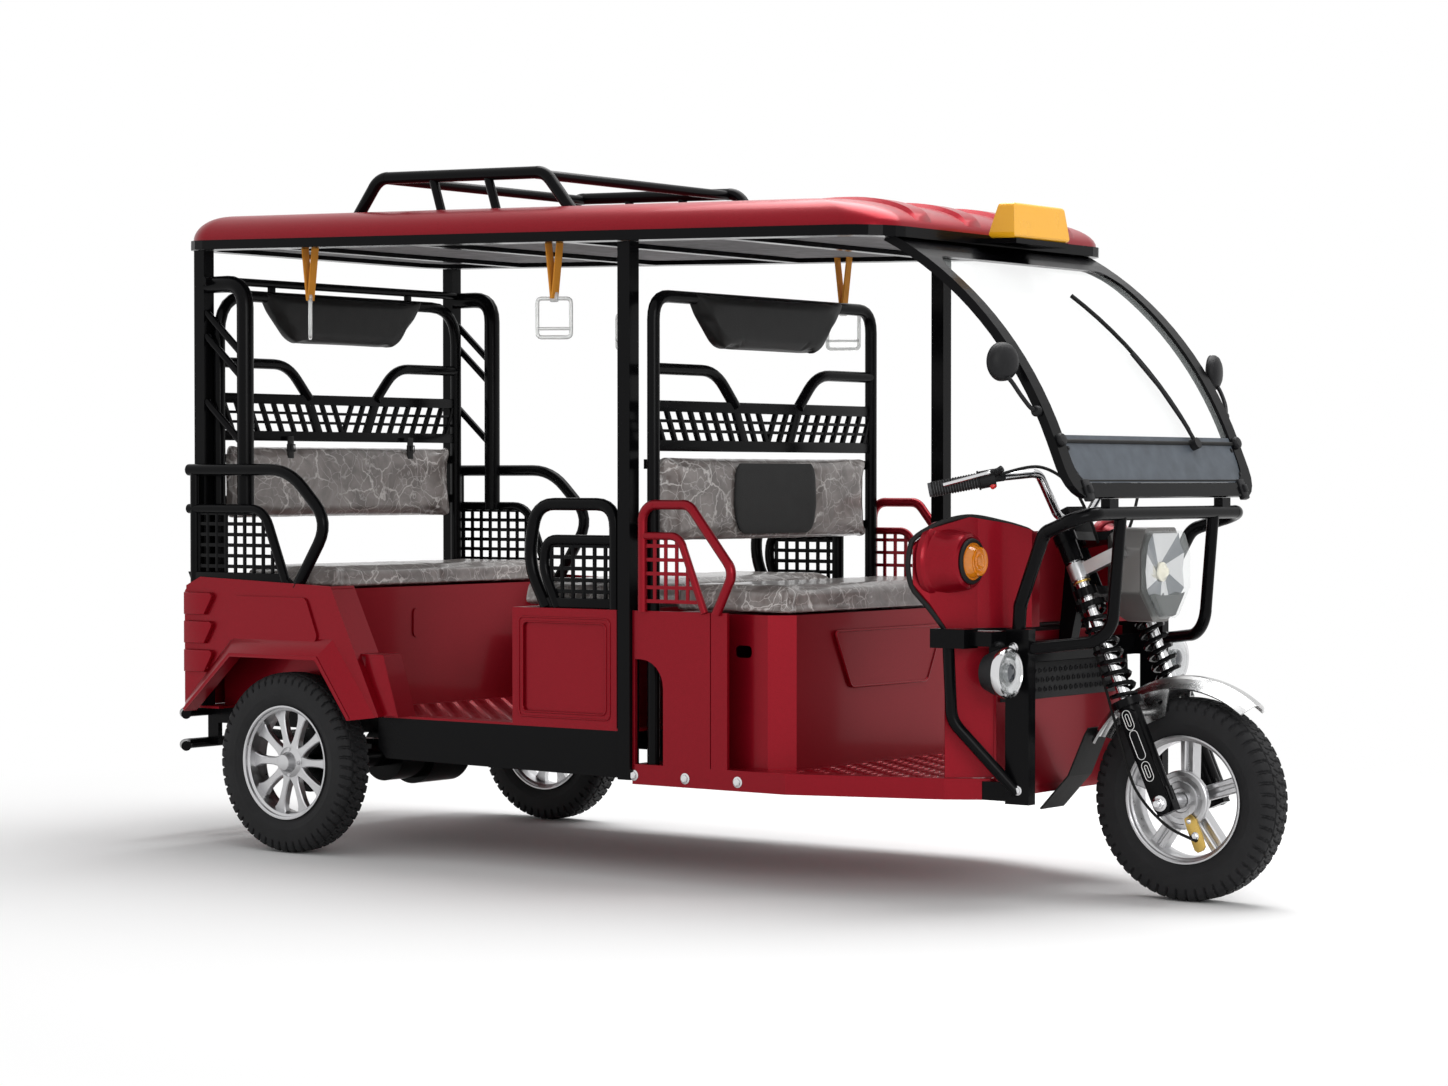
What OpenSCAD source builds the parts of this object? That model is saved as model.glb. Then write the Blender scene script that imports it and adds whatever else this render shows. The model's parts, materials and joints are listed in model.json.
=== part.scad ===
/* [Wheels] */
// Distance between the front and rear axles
wheelbase = 2412; // [2350:1:2500]
// Distance between the middles of the rear tyres
track = 1070; // [1060:1:1090]
// Outer radius of the tyres
tyre_r = 240; // [232:1:245]
// Width of the tyres across the sidewalls
tyre_w = 95; // [85:1:98]
// Radius of the rim under the tyre's bead
rim_r = 146; // [136:1:150]
// Spokes in each rear rim
rear_spokes = 10; // [8:1:12]
// Spokes in the front rim
front_spokes = 5; // [4:1:7]
// Radius of the front axle
front_axle_r = 8; // [6:0.5:10]
// Radius of the rear stub shafts
stub_r = 15; // [12:0.5:18]

/* [Steering] */
// Lean of the steering axis from upright, in degrees
rake = 24; // [22:0.5:26]
// Distance of the fork legs ahead of the steering axis
fork_offset = 45; // [40:1:52]
// Half the distance between the fork legs
fork_half_w = 120; // [114:1:124]
// Radius of the lower fork legs
leg_r = 25; // [20:1:27]
// Radius of the chrome upper tubes
stanchion_r = 16; // [12:1:18]
// Height of the lower legs above the axle, along the leg
leg_top = 240; // [225:1:245]
// Length of the fork springs
spring_len = 234; // [224:1:238]
// Coils in each fork spring
spring_coils = 8; // [6:1:10]
// Radius of the steering stem
stem_r = 12; // [9:0.5:15]
// Radius of the handlebar tube
bar_r = 11; // [9:0.5:13]
// Reach of the handlebar to each side
bar_half_w = 380; // [350:1:400]

/* [Floor and body] */
// Reach of the rear bumper behind the rear axle
rear_reach = 575; // [560:1:600]
// Height of the passenger floor
floor_z = 375; // [370:1:385]
// Height of the driver's floor
driver_floor_z = 290; // [284:1:296]
// Thickness of the sheet panels
sheet = 6; // [4:0.5:8]
// Half width of the cabin at the sills
cabin_half_w = 500; // [496:1:506]
// Half width at the rear quarter panels
quarter_half_w = 560; // [556:1:566]
// Half width at the rear wheel-arch lips
lip_half_w = 600; // [590:1:612]
// Front of the mid pillar, ahead of the rear axle
cab_x = 1124; // [1110:1:1130]
// Distance from the nose panel to the front axle
nose_gap = 362; // [356:1:368]
// Height of the rear bench box
rear_box_z = 700; // [690:1:706]
// Height of the rearward-facing mid bench box
mid_box_z = 670; // [660:1:676]
// Height of the driver's seat box
driver_box_z = 665; // [655:1:672]
// Thickness of the seat cushions
cushion_h = 66; // [50:1:75]

/* [Roof] */
// Height of the roof rim's underside at its front
roof_front_z = 1563; // [1555:1:1580]
// Length of the roof
roof_len = 2340; // [2320:1:2360]
// Half width of the roof
roof_half_w = 540; // [535:1:550]
// Fall of the roof to the front, in degrees
roof_fall = 1.47; // [1:0.01:2]
// Height of the roof rim
rim_h = 25; // [20:1:30]
// Height of the raised roof panel above the rim
crown_h = 70; // [55:1:85]
// Height of the rack tubes above the roof panel
rack_h = 92; // [75:1:105]

/* [Tubes] */
// Side of the square pillars
pillar = 38; // [32:1:38]
// Radius of the rack and bull bar tubes
bar_tube_r = 16; // [13:1:17]
// Radius of the backrest tubes
back_tube_r = 14; // [11:1:14]
// Radius of the guard hoops
guard_r = 12; // [9:0.5:12]

/* [Hidden] */
$fn = 32;

// Clearances: seated pieces, running fits and the slight swell of a tube's bends
seat_gap = 0.3;
run_gap = 0.1;
bend_swell = 0.4;
bend_lap = 2;

// Places along the vehicle, from the rear axle
rear_axle_x = (rear_reach - wheelbase - tyre_r) / 2;
nose_x = wheelbase - nose_gap;
roof_front_x = nose_x - 161;
wheel_y = track / 2;
rail_y = 300;
rail_w = 40;
rail_h = 60;
tail_x = -385;

module place() {
    translate([rear_axle_x, 0, 0]) children();
}

module both_sides() {
    children();
    mirror([0, 1, 0]) children();
}

module block(low, high) {
    translate(low) cube(high - low);
}

// Outline in X and Z, extruded from one Y to another
module side_plate(y0, y1) {
    translate([0, y1, 0]) rotate([90, 0, 0]) linear_extrude(y1 - y0) children();
}

// Outline in Y and Z, extruded from one X to another
module cross_plate(x0, x1) {
    translate([x0, 0, 0]) rotate([90, 0, 90]) linear_extrude(x1 - x0) children();
}

// Outline in X and Y, extruded from one Z to another
module deck_plate(z0, z1) {
    translate([0, 0, z0]) linear_extrude(z1 - z0) children();
}

function unit(v) = v / norm(v);
function left_of(d) = [-d[1], d[0]];
function flip(points) = [for (i = [len(points) - 1 : -1 : 0]) [points[i][0], -points[i][1]]];
function arc(c, r, a0, a1, n) = [for (i = [0 : n]) c + r * [cos(a0 + (a1 - a0) * i / n), sin(a0 + (a1 - a0) * i / n)]];

// Corners of a polygon rounded to arcs of n chords
function rounded(p, r, n = 5) = [
    for (i = [0 : len(p) - 1])
        let (
            a = p[(i + len(p) - 1) % len(p)], b = p[i], c = p[(i + 1) % len(p)],
            u = unit(a - b), v = unit(c - b), half = acos(u * v) / 2, m = unit(u + v),
            q = b + m * r / sin(half), from = b + u * r / tan(half) - q, to = b + v * r / tan(half) - q,
            a0 = atan2(from[1], from[0]), turn0 = atan2(to[1], to[0]) - a0,
            turn = turn0 > 180 ? turn0 - 360 : turn0 < -180 ? turn0 + 360 : turn0
        )
        for (k = [0 : n]) q + r * [cos(a0 + turn * k / n), sin(a0 + turn * k / n)]
];

function box_points(x0, y0, x1, y1) = [[x0, y0], [x1, y0], [x1, y1], [x0, y1]];

// A strip of even thickness to the left of a line of points
function strip_side(p, t) = [
    for (i = [0 : len(p) - 1])
        let (
            u = unit(i == 0 ? p[1] - p[0] : p[i] - p[i - 1]),
            v = i == len(p) - 1 ? u : unit(p[i + 1] - p[i]),
            m = unit(left_of(u) + left_of(v))
        )
        p[i] + m * t / (m * left_of(u))
];
function strip(p, t) = concat(p, reverse(strip_side(p, t)));
function reverse(p) = [for (i = [len(p) - 1 : -1 : 0]) p[i]];

// A round tube through points, with bends of one radius
function side_of(d) = unit(abs(d[2]) < 0.9 ? cross([0, 0, 1], d) : cross([1, 0, 0], d));
function turn_at(p, i) = acos(unit(p[i] - p[i - 1]) * unit(p[i + 1] - p[i]));
function cut_at(p, i, bend) = i == 0 || i == len(p) - 1 ? 0 : bend * tan(turn_at(p, i) / 2);

module axes(x, y, z, at) {
    multmatrix([[x[0], y[0], z[0], at[0]], [x[1], y[1], z[1], at[1]], [x[2], y[2], z[2], at[2]], [0, 0, 0, 1]])
        children();
}

module along(at, d) {
    s = side_of(d);
    axes(s, cross(d, s), d, at) children();
}

module rod(a, b, r) {
    along(a, unit(b - a)) cylinder(h = norm(b - a), r = r);
}

module bend_at(p, i, r, bend) {
    u = unit(p[i] - p[i - 1]);
    v = unit(p[i + 1] - p[i]);
    n = unit(v - u * (u * v));
    axes(-n, u, cross(u, n), p[i] - u * cut_at(p, i, bend) + n * bend)
        rotate_extrude(angle = turn_at(p, i)) translate([bend, 0]) circle(r + bend_swell);
}

module bent_tube(p, r, bend) {
    for (i = [0 : len(p) - 2]) {
        d = unit(p[i + 1] - p[i]);
        from = p[i] + d * (i == 0 ? 0 : cut_at(p, i, bend) - bend_lap);
        to = p[i + 1] - d * (i == len(p) - 2 ? 0 : cut_at(p, i + 1, bend) - bend_lap);
        rod(from, to, r);
    }
    for (i = [1 : 1 : len(p) - 2])
        bend_at(p, i, r, bend);
}

// Flat points given as X and Z, set at one Y
function at_y(p, y) = [for (q = p) [q[0], y, q[1]]];

// The roof's own frame: origin at the front edge of the rim's underside
module on_roof() {
    translate([roof_front_x, 0, roof_front_z]) rotate([0, roof_fall, 0]) children();
}
function roof_under(x) = roof_front_z + (roof_front_x - x) * tan(roof_fall);

// The fork's own frame: origin at the axle, Z up along the legs, X ahead of them
module on_fork() {
    translate([wheelbase, 0, tyre_r]) rotate([0, -rake, 0]) children();
}
function to_fork(x, z) = let (dx = x - wheelbase, dz = z - tyre_r)
    [dx * cos(rake) + dz * sin(rake), dz * cos(rake) - dx * sin(rake)];

// Frame

rear_rail_z = floor_z - sheet;
front_rail_z = driver_floor_z - sheet;
front_rail_h = 44;
post_x0 = nose_x + 53;
post_x1 = nose_x + 117;
post_y0 = 300;
post_y1 = 330;
post_z1 = 645;
post_z0 = 235;

head_low = 547;
head_high = 655;
head_r = 24;
beam_z0 = 560;
beam_z1 = 610;

module rails() {
    both_sides() {
        block([-520, rail_y - rail_w / 2, rear_rail_z - rail_h], [cab_x, rail_y + rail_w / 2, rear_rail_z]);
        block([cab_x - 54, rail_y - rail_w / 2, front_rail_z - front_rail_h], [cab_x, rail_y + rail_w / 2, rear_rail_z]);
        block([cab_x - 54, rail_y - rail_w / 2, front_rail_z - front_rail_h],
            [nose_x - 10, rail_y + rail_w / 2, front_rail_z]);
        block([nose_x - 60, post_y0, front_rail_z - front_rail_h], [post_x0 + 1, rail_y + rail_w / 2, front_rail_z]);
        for (x = [-spring_reach, spring_reach])
            block([x - 20, rail_y - 25, spring_eye_z], [x + 20, rail_y + 25, rear_rail_z - rail_h + 1]);
    }
    for (x = [-500, 260, 700, cab_x - 40])
        block([x, -rail_y, rear_rail_z - rail_h], [x + 40, rail_y, rear_rail_z]);
    for (x = [cab_x + 400, nose_x - 60])
        block([x, -rail_y, front_rail_z - front_rail_h], [x + 40, rail_y, front_rail_z]);
}

// Front posts with their cross beam, braces and the brackets under the shell
module front_posts() {
    block([nose_x + 8, -post_y0 - 1, beam_z0], [nose_x + 40, post_y0 + 1, beam_z1]);
    both_sides() {
        block([post_x0, post_y0, post_z0], [post_x1, post_y1, post_z1]);
        block([nose_x + 8, post_y0, beam_z0], [post_x0 + 1, post_y1, beam_z1]);
        block([nose_x - 95, 365, 600], [nose_x, 425, post_z1]);
        block([nose_x - 70, post_y1 - 6, 606], [post_x0 + 6, 400, 640]);
        bent_tube([[nose_x - 60, 400, 610], [nose_x - 50, 400, 430], [post_x0 + 30, post_y1 - 5, 262]], 14, 70);
    }
}

// Head tube on a gusset from the cross beam
module steering_head() {
    on_fork() translate([-fork_offset, 0, head_low]) cylinder(h = head_high - head_low, r = head_r);
    on_fork() side_plate(-18, 18) polygon([
        to_fork(nose_x + 12, beam_z0 + 10), to_fork(nose_x + 36, beam_z0 + 10),
        [-fork_offset - 20, head_low + 20], [-fork_offset - 10, head_high - 6],
        [-fork_offset - 36, head_high - 16], to_fork(nose_x + 12, beam_z1 + 20)
    ]);
}

module chassis_frame() {
    color("black") difference() {
        union() {
            rails();
            front_posts();
            steering_head();
        }
        on_fork() translate([-fork_offset, 0, head_low - 30])
            cylinder(h = head_high - head_low + 60, r = stem_r + run_gap);
    }
}

well_x = 290;
inner_half_w = 469;

module passenger_floor() {
    half = [
        [tail_x - sheet, 0], [tail_x - sheet, quarter_half_w - 30], [-well_x, quarter_half_w - 30],
        [-well_x, inner_half_w], [well_x, inner_half_w], [well_x, cabin_half_w], [cab_x - pillar, cabin_half_w],
        [cab_x - pillar, cabin_half_w - pillar + 9], [cab_x, cabin_half_w - pillar + 9], [cab_x, 0]
    ];
    color("firebrick") deck_plate(floor_z - sheet, floor_z) polygon(concat(half, flip(half)));
}

flange_z = 240;

function driver_outline(inset) = let (w = cabin_half_w - inset, nose = nose_x - inset, w1 = 330 - inset)
    [
        [cab_x + 1 - 4 * inset, 0], [cab_x + 1 - 4 * inset, w], [cab_x + 468, w], [nose - 90, w1 + 40], [nose, w1 - 20],
        [nose, 0]
    ];

module driver_floor() {
    outer = driver_outline(0);
    inner = driver_outline(sheet);
    color("firebrick") {
        deck_plate(driver_floor_z - sheet, driver_floor_z) polygon(concat(outer, flip(outer)));
        difference() {
            deck_plate(flange_z, driver_floor_z) polygon(concat(outer, flip(outer)));
            deck_plate(flange_z - 1, driver_floor_z + 1) polygon(concat(inner, flip(inner)));
            both_sides() block([nose_x - 40, post_y0 - 1, flange_z - 1],
                [nose_x + 20, rail_y + rail_w / 2 + 1, driver_floor_z - sheet]);
        }
        cross_plate(nose_x - 1, nose_x + sheet)
            polygon(box_points(-post_y0 + 6, flange_z + 20, post_y0 - 6, beam_z1 + 20));
    }
}

sill_w = 25;

module side_sills() {
    front = cab_x - pillar - seat_gap;
    outline = [[271, 290], [300, 262], [front, 253], [front, floor_z - sheet], [271, floor_z - sheet]];
    color("black") both_sides() side_plate(cabin_half_w - sill_w, cabin_half_w) polygon(outline);
}

// Body panels

quarter_top = 712;
arch = [[-352, 364], [-178, 518], [137, 518], [252, 364]];
quarter_front = [[327, 375], [156, quarter_top]];

module rear_quarter_panels() {
    skin = concat(arch, [quarter_front[0], quarter_front[1], [-330, 729], [tail_x, 705], [tail_x, 364]]);
    color("firebrick") both_sides() {
        side_plate(quarter_half_w - sheet, quarter_half_w) polygon(skin);
        side_plate(quarter_half_w - sheet, lip_half_w) polygon(strip(arch, 10));
        side_plate(quarter_half_w - 20, quarter_half_w) polygon(strip(quarter_front, sheet));
        intersection() {
            side_plate(inner_half_w + 1, quarter_half_w) polygon(strip(quarter_front, sheet));
            block([0, 0, cover_top + seat_gap], [400, quarter_half_w, quarter_top]);
        }
        deck_plate(quarter_top - sheet - 6, quarter_top - 6)
            polygon(box_points(tail_x + pillar + 1.3, inner_half_w + 7, 160, quarter_half_w));
        for (z = [480, 560, 640])
            block([tail_x, quarter_half_w - 1, z], [tail_x + 90, quarter_half_w + 8, z + 22]);
        side_plate(quarter_half_w, quarter_half_w + 6)
            polygon(rounded([[-230, 560], [120, 560], [70, 680], [-200, 680]], 20));
    }
}

cover_top = 536;

module wheel_well_covers() {
    edge = [[377, floor_z], [325, cover_top], [rear_box_front + seat_gap, cover_top]];
    color("firebrick") both_sides() {
        difference() {
            side_plate(inner_half_w + 1, quarter_half_w - 21) polygon(strip(edge, sheet));
            block([rear_box_front, 0, 0], [edge[0][0], quarter_half_w, floor_z]);
        }
        side_plate(inner_half_w + 1, inner_half_w + 7) polygon(concat(edge, [[rear_box_front + seat_gap, floor_z]]));
    }
}

rear_box_back = -330;
rear_box_front = 75;

module rear_seat_box() {
    color("firebrick") {
        difference() {
            block([rear_box_back, -inner_half_w, floor_z], [rear_box_front, inner_half_w, rear_box_z]);
            block([rear_box_back + sheet, -inner_half_w + sheet, floor_z - 1],
                [rear_box_front - sheet, inner_half_w - sheet, rear_box_z - sheet]);
        }
        cross_plate(rear_box_front - 1, rear_box_front + 4) polygon(rounded(box_points(-150, 560, -120, 640), 14));
    }
}

mid_box_back = 735;
mid_box_front = 1075;

module mid_seat_box() {
    color("firebrick") {
        difference() {
            block([mid_box_back, -cabin_half_w, floor_z], [mid_box_front, cabin_half_w, mid_box_z]);
            block([mid_box_back + sheet, -cabin_half_w + 14, floor_z - 1],
                [mid_box_front - sheet, cabin_half_w - 14, mid_box_z - sheet]);
            both_sides() side_plate(cabin_half_w - 6, cabin_half_w + 1)
                polygon(rounded(box_points(mid_box_back + 34, floor_z + 34, mid_box_front - 34, mid_box_z - 34), 12));
        }
    }
}

driver_box_back = cab_x + 66;
driver_box_front = 1550;
driver_half_w = 445;

module driver_seat_box() {
    function outline(inset) = let (w = driver_half_w - inset, front = driver_box_front - inset)
        [[driver_box_back + inset, -w], [front - 50, -w], [front, -w + 50], [front, w - 50], [front - 50, w],
            [driver_box_back + inset, w]];
    color("firebrick") difference() {
        union() {
            deck_plate(driver_floor_z, driver_box_z) polygon(outline(0));
            cross_plate(driver_box_front - 1, driver_box_front + 5)
                polygon(rounded([[-240, 620], [-170, 480], [170, 480], [240, 620]], 12));
        }
        deck_plate(driver_floor_z - 1, driver_box_z - sheet) polygon(outline(sheet));
        side_plate(-driver_half_w - 1, driver_half_w + 1)
            polygon(rounded(box_points(1400, 560, 1452, 590), 12));
    }
}

side_panel_x1 = 1418;
side_panel_y0 = cabin_half_w - 9;

module front_side_panels() {
    x0 = cab_x + 1.3;
    notch = concat([[x0 + 8, driver_floor_z - 1], [x0 + 96, driver_floor_z - 1]],
        arc([x0 + 26, 480], 70, 0, 90, 6), [[x0 + 8, 550]]);
    y = cabin_half_w + 3;
    foot = mid_box_z - 2;
    color("firebrick") both_sides() {
        difference() {
            side_plate(side_panel_y0, cabin_half_w)
                polygon(box_points(x0, driver_floor_z, side_panel_x1, mid_box_z));
            side_plate(side_panel_y0 - 1, cabin_half_w + 1) polygon(notch);
            block([1366, cabin_half_w - 3, driver_floor_z - 1], [1369, cabin_half_w + 1, mid_box_z + 1]);
        }
        bent_tube(at_y([[1160, foot], [1160, 932], [1305, 932], [1440, 770], [1388, foot]], y), guard_r, 40);
        bent_tube(at_y([[1160, 855], [1275, 855], [1352, foot]], y), guard_r * 0.8, 40);
        mesh_panel(y, [[1160, 690], [1343, 690], [1272, 855], [1160, 855]], [1160, 690], [1350, 857], 34, 9);
    }
}

module tail_panel() {
    color("firebrick") difference() {
        cross_plate(tail_x - sheet, tail_x) polygon(rounded(
            [[-quarter_half_w, floor_z + 1], [quarter_half_w, floor_z + 1], [quarter_half_w, 690], [520, 729],
                [-520, 729], [-quarter_half_w, 690]], 12));
        both_sides() cross_plate(tail_x - 20, tail_x + 1) polygon(box_points(400, 500, 540, 660));
    }
}

module tail_lamps() {
    color("red") both_sides()
        cross_plate(tail_x - 22, tail_x) polygon(rounded(box_points(400.3, 500.3, 539.7, 659.7), 14));
}

// Seats

module cushion(x0, x1, half_w, z0, h) {
    deck_plate(z0, z0 + h) polygon(rounded(box_points(x0, -half_w, x1, half_w), 40));
}

module seat_cushions() {
    color("gray") {
        cushion(rear_box_back + 60, rear_box_front + 10, inner_half_w, rear_box_z + seat_gap, cushion_h - 20);
        cushion(mid_box_back - 10, mid_box_front - 4, 470, mid_box_z + seat_gap, cushion_h);
        cushion(driver_box_back + 10, driver_box_front + 15, driver_half_w, driver_box_z + seat_gap, cushion_h);
    }
}

// Backrests

front_back_x = cab_x + 36;
front_back_y = 475;
rear_back_x = -300;
rear_back_y = 440;

module back_hoop(x, half_w, z0, z1) {
    corner = 60;
    bent_tube([[x, -half_w, z0], [x, -half_w, z1], [x, half_w, z1], [x, half_w, z0]], back_tube_r, corner);
}

module bowed_bar(x, half_w, z, rise) {
    bent_tube([[x, -half_w, z], [x, -half_w + 90, z], [x, -half_w + 150, z + rise], [x, half_w - 150, z + rise],
        [x, half_w - 90, z], [x, half_w, z]], back_tube_r * 0.7, 40);
}

module slats(x0, half_w, z0, z1, count) {
    pitch = 2 * half_w / count;
    cross_plate(x0, x0 + 8) {
        polygon(box_points(-half_w, z0, half_w, z0 + 14));
        polygon(box_points(-half_w, z1 - 14, half_w, z1));
        for (i = [0 : count - 1])
            translate([-half_w + pitch * (i + 0.5), z0 + 10])
                polygon([[-16, 0], [-2, 0], [16, z1 - z0 - 20], [2, z1 - z0 - 20]]);
    }
}

module rear_backrest_frame() {
    color("black") {
        back_hoop(rear_back_x, rear_back_y, rear_box_z + seat_gap, 1524);
        bowed_bar(rear_back_x, rear_back_y, 1340, 40);
        for (z = [925, 1040])
            block([rear_back_x - 8, -rear_back_y, z], [rear_back_x, rear_back_y, z + 24]);
        slats(rear_back_x - 4, rear_back_y, 1110, 1215, 14);
    }
}

module front_backrest_frame() {
    color("black") {
        back_hoop(front_back_x, front_back_y, driver_floor_z, 1448);
        bowed_bar(front_back_x, front_back_y, 1250, 36);
        for (z = [860, 1020])
            block([front_back_x - 8, -front_back_y, z], [front_back_x, front_back_y, z + 24]);
        slats(front_back_x - 4, front_back_y, 1075, 1172, 15);
    }
}

module backrest_cushions() {
    color("gray") {
        translate([front_back_x + seat_gap, 0, 0])
            cross_plate(0, 56) polygon(rounded(box_points(-450, 830, 450, 1060), 40));
        translate([rear_back_x + seat_gap, 0, 0])
            cross_plate(0, 56) polygon(rounded(box_points(-415, 898, 415, 1085), 40));
    }
}

// Oval pad on the driver's backrest and the two headrests
module back_pads() {
    color("black") {
        translate([front_back_x + 56 + 2 * seat_gap, 0, 0]) cross_plate(0, 18) polygon(rounded(
            [[-150, 849], [100, 849], [115, 944], [100, 1039], [-150, 1039], [-165, 944]], 40));
        for (p = [[front_back_x, 1448], [rear_back_x, 1524]])
            translate([p[0] - 14, 25, p[1] - back_tube_r - seat_gap])
                cross_plate(0, 28) polygon(rounded([[-150, 0], [-110, -92], [110, -92], [150, 0]], 16));
    }
}

// Guards: hoop and rail points in X and Z

module mesh_panel(y, outline, low, high, step, bar) {
    side_plate(y - 2, y + 2) intersection() {
        polygon(outline);
        union() {
            for (x = [low[0] : step : high[0]])
                translate([x, low[1]]) square([bar, high[1] - low[1]]);
            for (z = [low[1] : step : high[1]])
                translate([low[0], z]) square([high[0] - low[0], bar]);
        }
    }
}

module rear_guards() {
    y = quarter_half_w - 32 + guard_r + seat_gap;
    foot = quarter_top - 6 + seat_gap;
    color("black") both_sides() difference() {
        union() {
            bent_tube(at_y([[-389, 1020], [-9, 1020], [137, 880], [20, foot - 11]], y), guard_r, 60);
            bent_tube(at_y([[-389, 914], [-103, 914], [-16, foot - 11]], y), guard_r * 0.8, 50);
            mesh_panel(y, [[-340, 741], [-50, 741], [-108, 912], [-340, 912]], [-340, 741], [-45, 914], 34, 9);
            rod([-336, y, foot - 11], [-336, y, 1020], guard_r * 0.8);
        }
        block([-400, y - 30, foot - 40], [100, y + 30, foot]);
    }
}

module mid_guards() {
    y = cabin_half_w - 14;
    foot = mid_box_z + seat_gap;
    post = mid_box_front - 14;
    color("black") both_sides() difference() {
        union() {
            bent_tube(at_y([[post, foot - 11], [post, 936], [800, 936], [775, 780], [836, foot - 11]], y), guard_r, 45);
            rod([782, y, 842], [post, y, 842], guard_r * 0.8);
            mesh_panel(y, [[828, 695], [post, 695], [post, 842], [786, 842]], [786, 695], [post, 846], 34, 9);
        }
        block([mid_box_back, y - 30, foot - 40], [mid_box_front + 20, y + 30, foot]);
    }
}

// Pillars and roof

left_pillar_x = cab_x + 257;

module pillars() {
    color("black") {
        both_sides() block(
            [tail_x + 1, quarter_half_w - 32 - pillar, floor_z],
            [tail_x + 1 + pillar, quarter_half_w - 32, roof_under(tail_x + 1 + pillar) - seat_gap]);
        block([cab_x - pillar, -cabin_half_w - 10, 250],
            [cab_x, -cabin_half_w - 10 + pillar, roof_under(cab_x) - seat_gap]);
        block([left_pillar_x, side_panel_y0 - seat_gap - pillar, driver_floor_z],
            [left_pillar_x + pillar, side_panel_y0 - seat_gap, roof_under(left_pillar_x + pillar) - seat_gap]);
    }
}

roof_corner = 110;
rim_w = 60;

function roof_outline(inset) = rounded(
    box_points(-roof_len + inset, -roof_half_w + inset, -inset, roof_half_w - inset), roof_corner - inset * 0.6);

module roof_frame() {
    color("black") on_roof() {
        difference() {
            deck_plate(0, rim_h) polygon(roof_outline(0));
            deck_plate(-1, rim_h + 1) polygon(roof_outline(rim_w));
        }
        for (x = [-2000, -1500, -1000, -500])
            block([x, -roof_half_w + rim_w - 5, 0], [x + 40, roof_half_w - rim_w + 5, liner_z]);
        block([-10, -sign_half_w + 10, 2], [112, sign_half_w - 10, 14]);
    }
}

liner_z = 12;

module roof_liner() {
    color("dimgray") on_roof() deck_plate(liner_z + seat_gap, liner_z + 6) polygon(roof_outline(rim_w + seat_gap));
}

module roof_panel() {
    function plate(inset, front) = rounded(
        box_points(-roof_len + inset, -roof_half_w + inset, -front, roof_half_w - inset), roof_corner - 20, 4);
    color("firebrick") on_roof() translate([0, 0, rim_h]) difference() {
        hull() {
            deck_plate(0, 1) polygon(plate(8, 8));
            deck_plate(crown_h - 1, crown_h) polygon(plate(80, 166));
        }
        hull() {
            deck_plate(-1, 0) polygon(plate(8 + sheet, 8 + sheet));
            deck_plate(crown_h - 1 - sheet, crown_h - sheet) polygon(plate(80 + sheet, 166 + sheet));
        }
    }
}

rack_x = [106 - roof_front_x, 190 - roof_front_x, 765 - roof_front_x, 867 - roof_front_x];
rack_y = 410;

module roof_rack() {
    top = rim_h + crown_h;
    color("black") on_roof() difference() {
        union() {
            both_sides() {
                bent_tube(at_y([[rack_x[0], top - 20], [rack_x[1], top + rack_h], [rack_x[2], top + rack_h],
                    [rack_x[3], top - 20]], rack_y), bar_tube_r, 60);
                for (i = [1, 2])
                    rod([rack_x[1] + i * 190, rack_y, top + rack_h], [rack_x[1] + i * 190 + 40, rack_y, top - 20],
                        bar_tube_r * 0.75);
            }
            for (x = [rack_x[1] + 30, rack_x[2] - 30])
                rod([x, -rack_y, top + rack_h - 4], [x, rack_y, top + rack_h - 4], bar_tube_r * 0.8);
        }
        block([-roof_len, -roof_half_w, -40], [0, roof_half_w, top + seat_gap]);
    }
}

sign_half_w = 130;

module roof_sign() {
    color("gold") on_roof() translate([0, 0, 14 + seat_gap]) intersection() {
        side_plate(-sign_half_w, sign_half_w) polygon(rounded([[36, 0], [112, 0], [100, 86], [58, 86]], 8));
        cross_plate(0, 200) polygon(rounded(
            [[-sign_half_w, 0], [sign_half_w, 0], [sign_half_w - 14, 86], [-sign_half_w + 14, 86]], 12));
    }
}

// Windscreen: an arc in side view that runs into a straight foot

screen_c = [nose_x - 618, 732];
screen_r = 929;
screen_a0 = 64;
screen_a1 = 22.3;
screen_foot = 146;
screen_half_w = 440;
screen_z0 = 950;
screen_split = 1096;

function screen_line(off) = concat(
    arc(screen_c, screen_r + off, screen_a0, screen_a1, 16),
    [screen_c + (screen_r + off) * [cos(screen_a1), sin(screen_a1)] + screen_foot * [sin(screen_a1), -cos(screen_a1)]]);

module screen_sheet(in, out, half_w) {
    side_plate(-half_w, half_w) polygon(concat(screen_line(out), reverse(screen_line(in))));
}

module screen_window(inset, z0, z1, r) {
    w = screen_half_w - inset;
    cross_plate(nose_x - 400, nose_x + 400)
        polygon(rounded(box_points(-w, z0, w, z1), r));
}

module windscreen_frame() {
    color("black") difference() {
        intersection() {
            screen_sheet(-11, 11, screen_half_w);
            screen_window(0, screen_z0, 1640, 70);
        }
        screen_window(42, screen_z0 + 36, 1520, 50);
        on_roof() block([-300, -roof_half_w, -seat_gap], [100, roof_half_w, 100]);
    }
}

module windscreen_glass() {
    color("lightblue", 0.4) intersection() {
        screen_sheet(-3, 3, screen_half_w);
        screen_window(42 + seat_gap, screen_z0 + 36 + seat_gap, 1520 - seat_gap, 50);
        block([nose_x - 400, -screen_half_w, screen_split + seat_gap], [nose_x + 400, screen_half_w, 1700]);
    }
}

module windscreen_panel() {
    color("dimgray") intersection() {
        screen_sheet(-8, 8, screen_half_w);
        screen_window(42 + seat_gap, screen_z0 + 36 + seat_gap, 1520 - seat_gap, 50);
        block([nose_x - 400, -screen_half_w, 900], [nose_x + 400, screen_half_w, screen_split]);
    }
}

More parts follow.
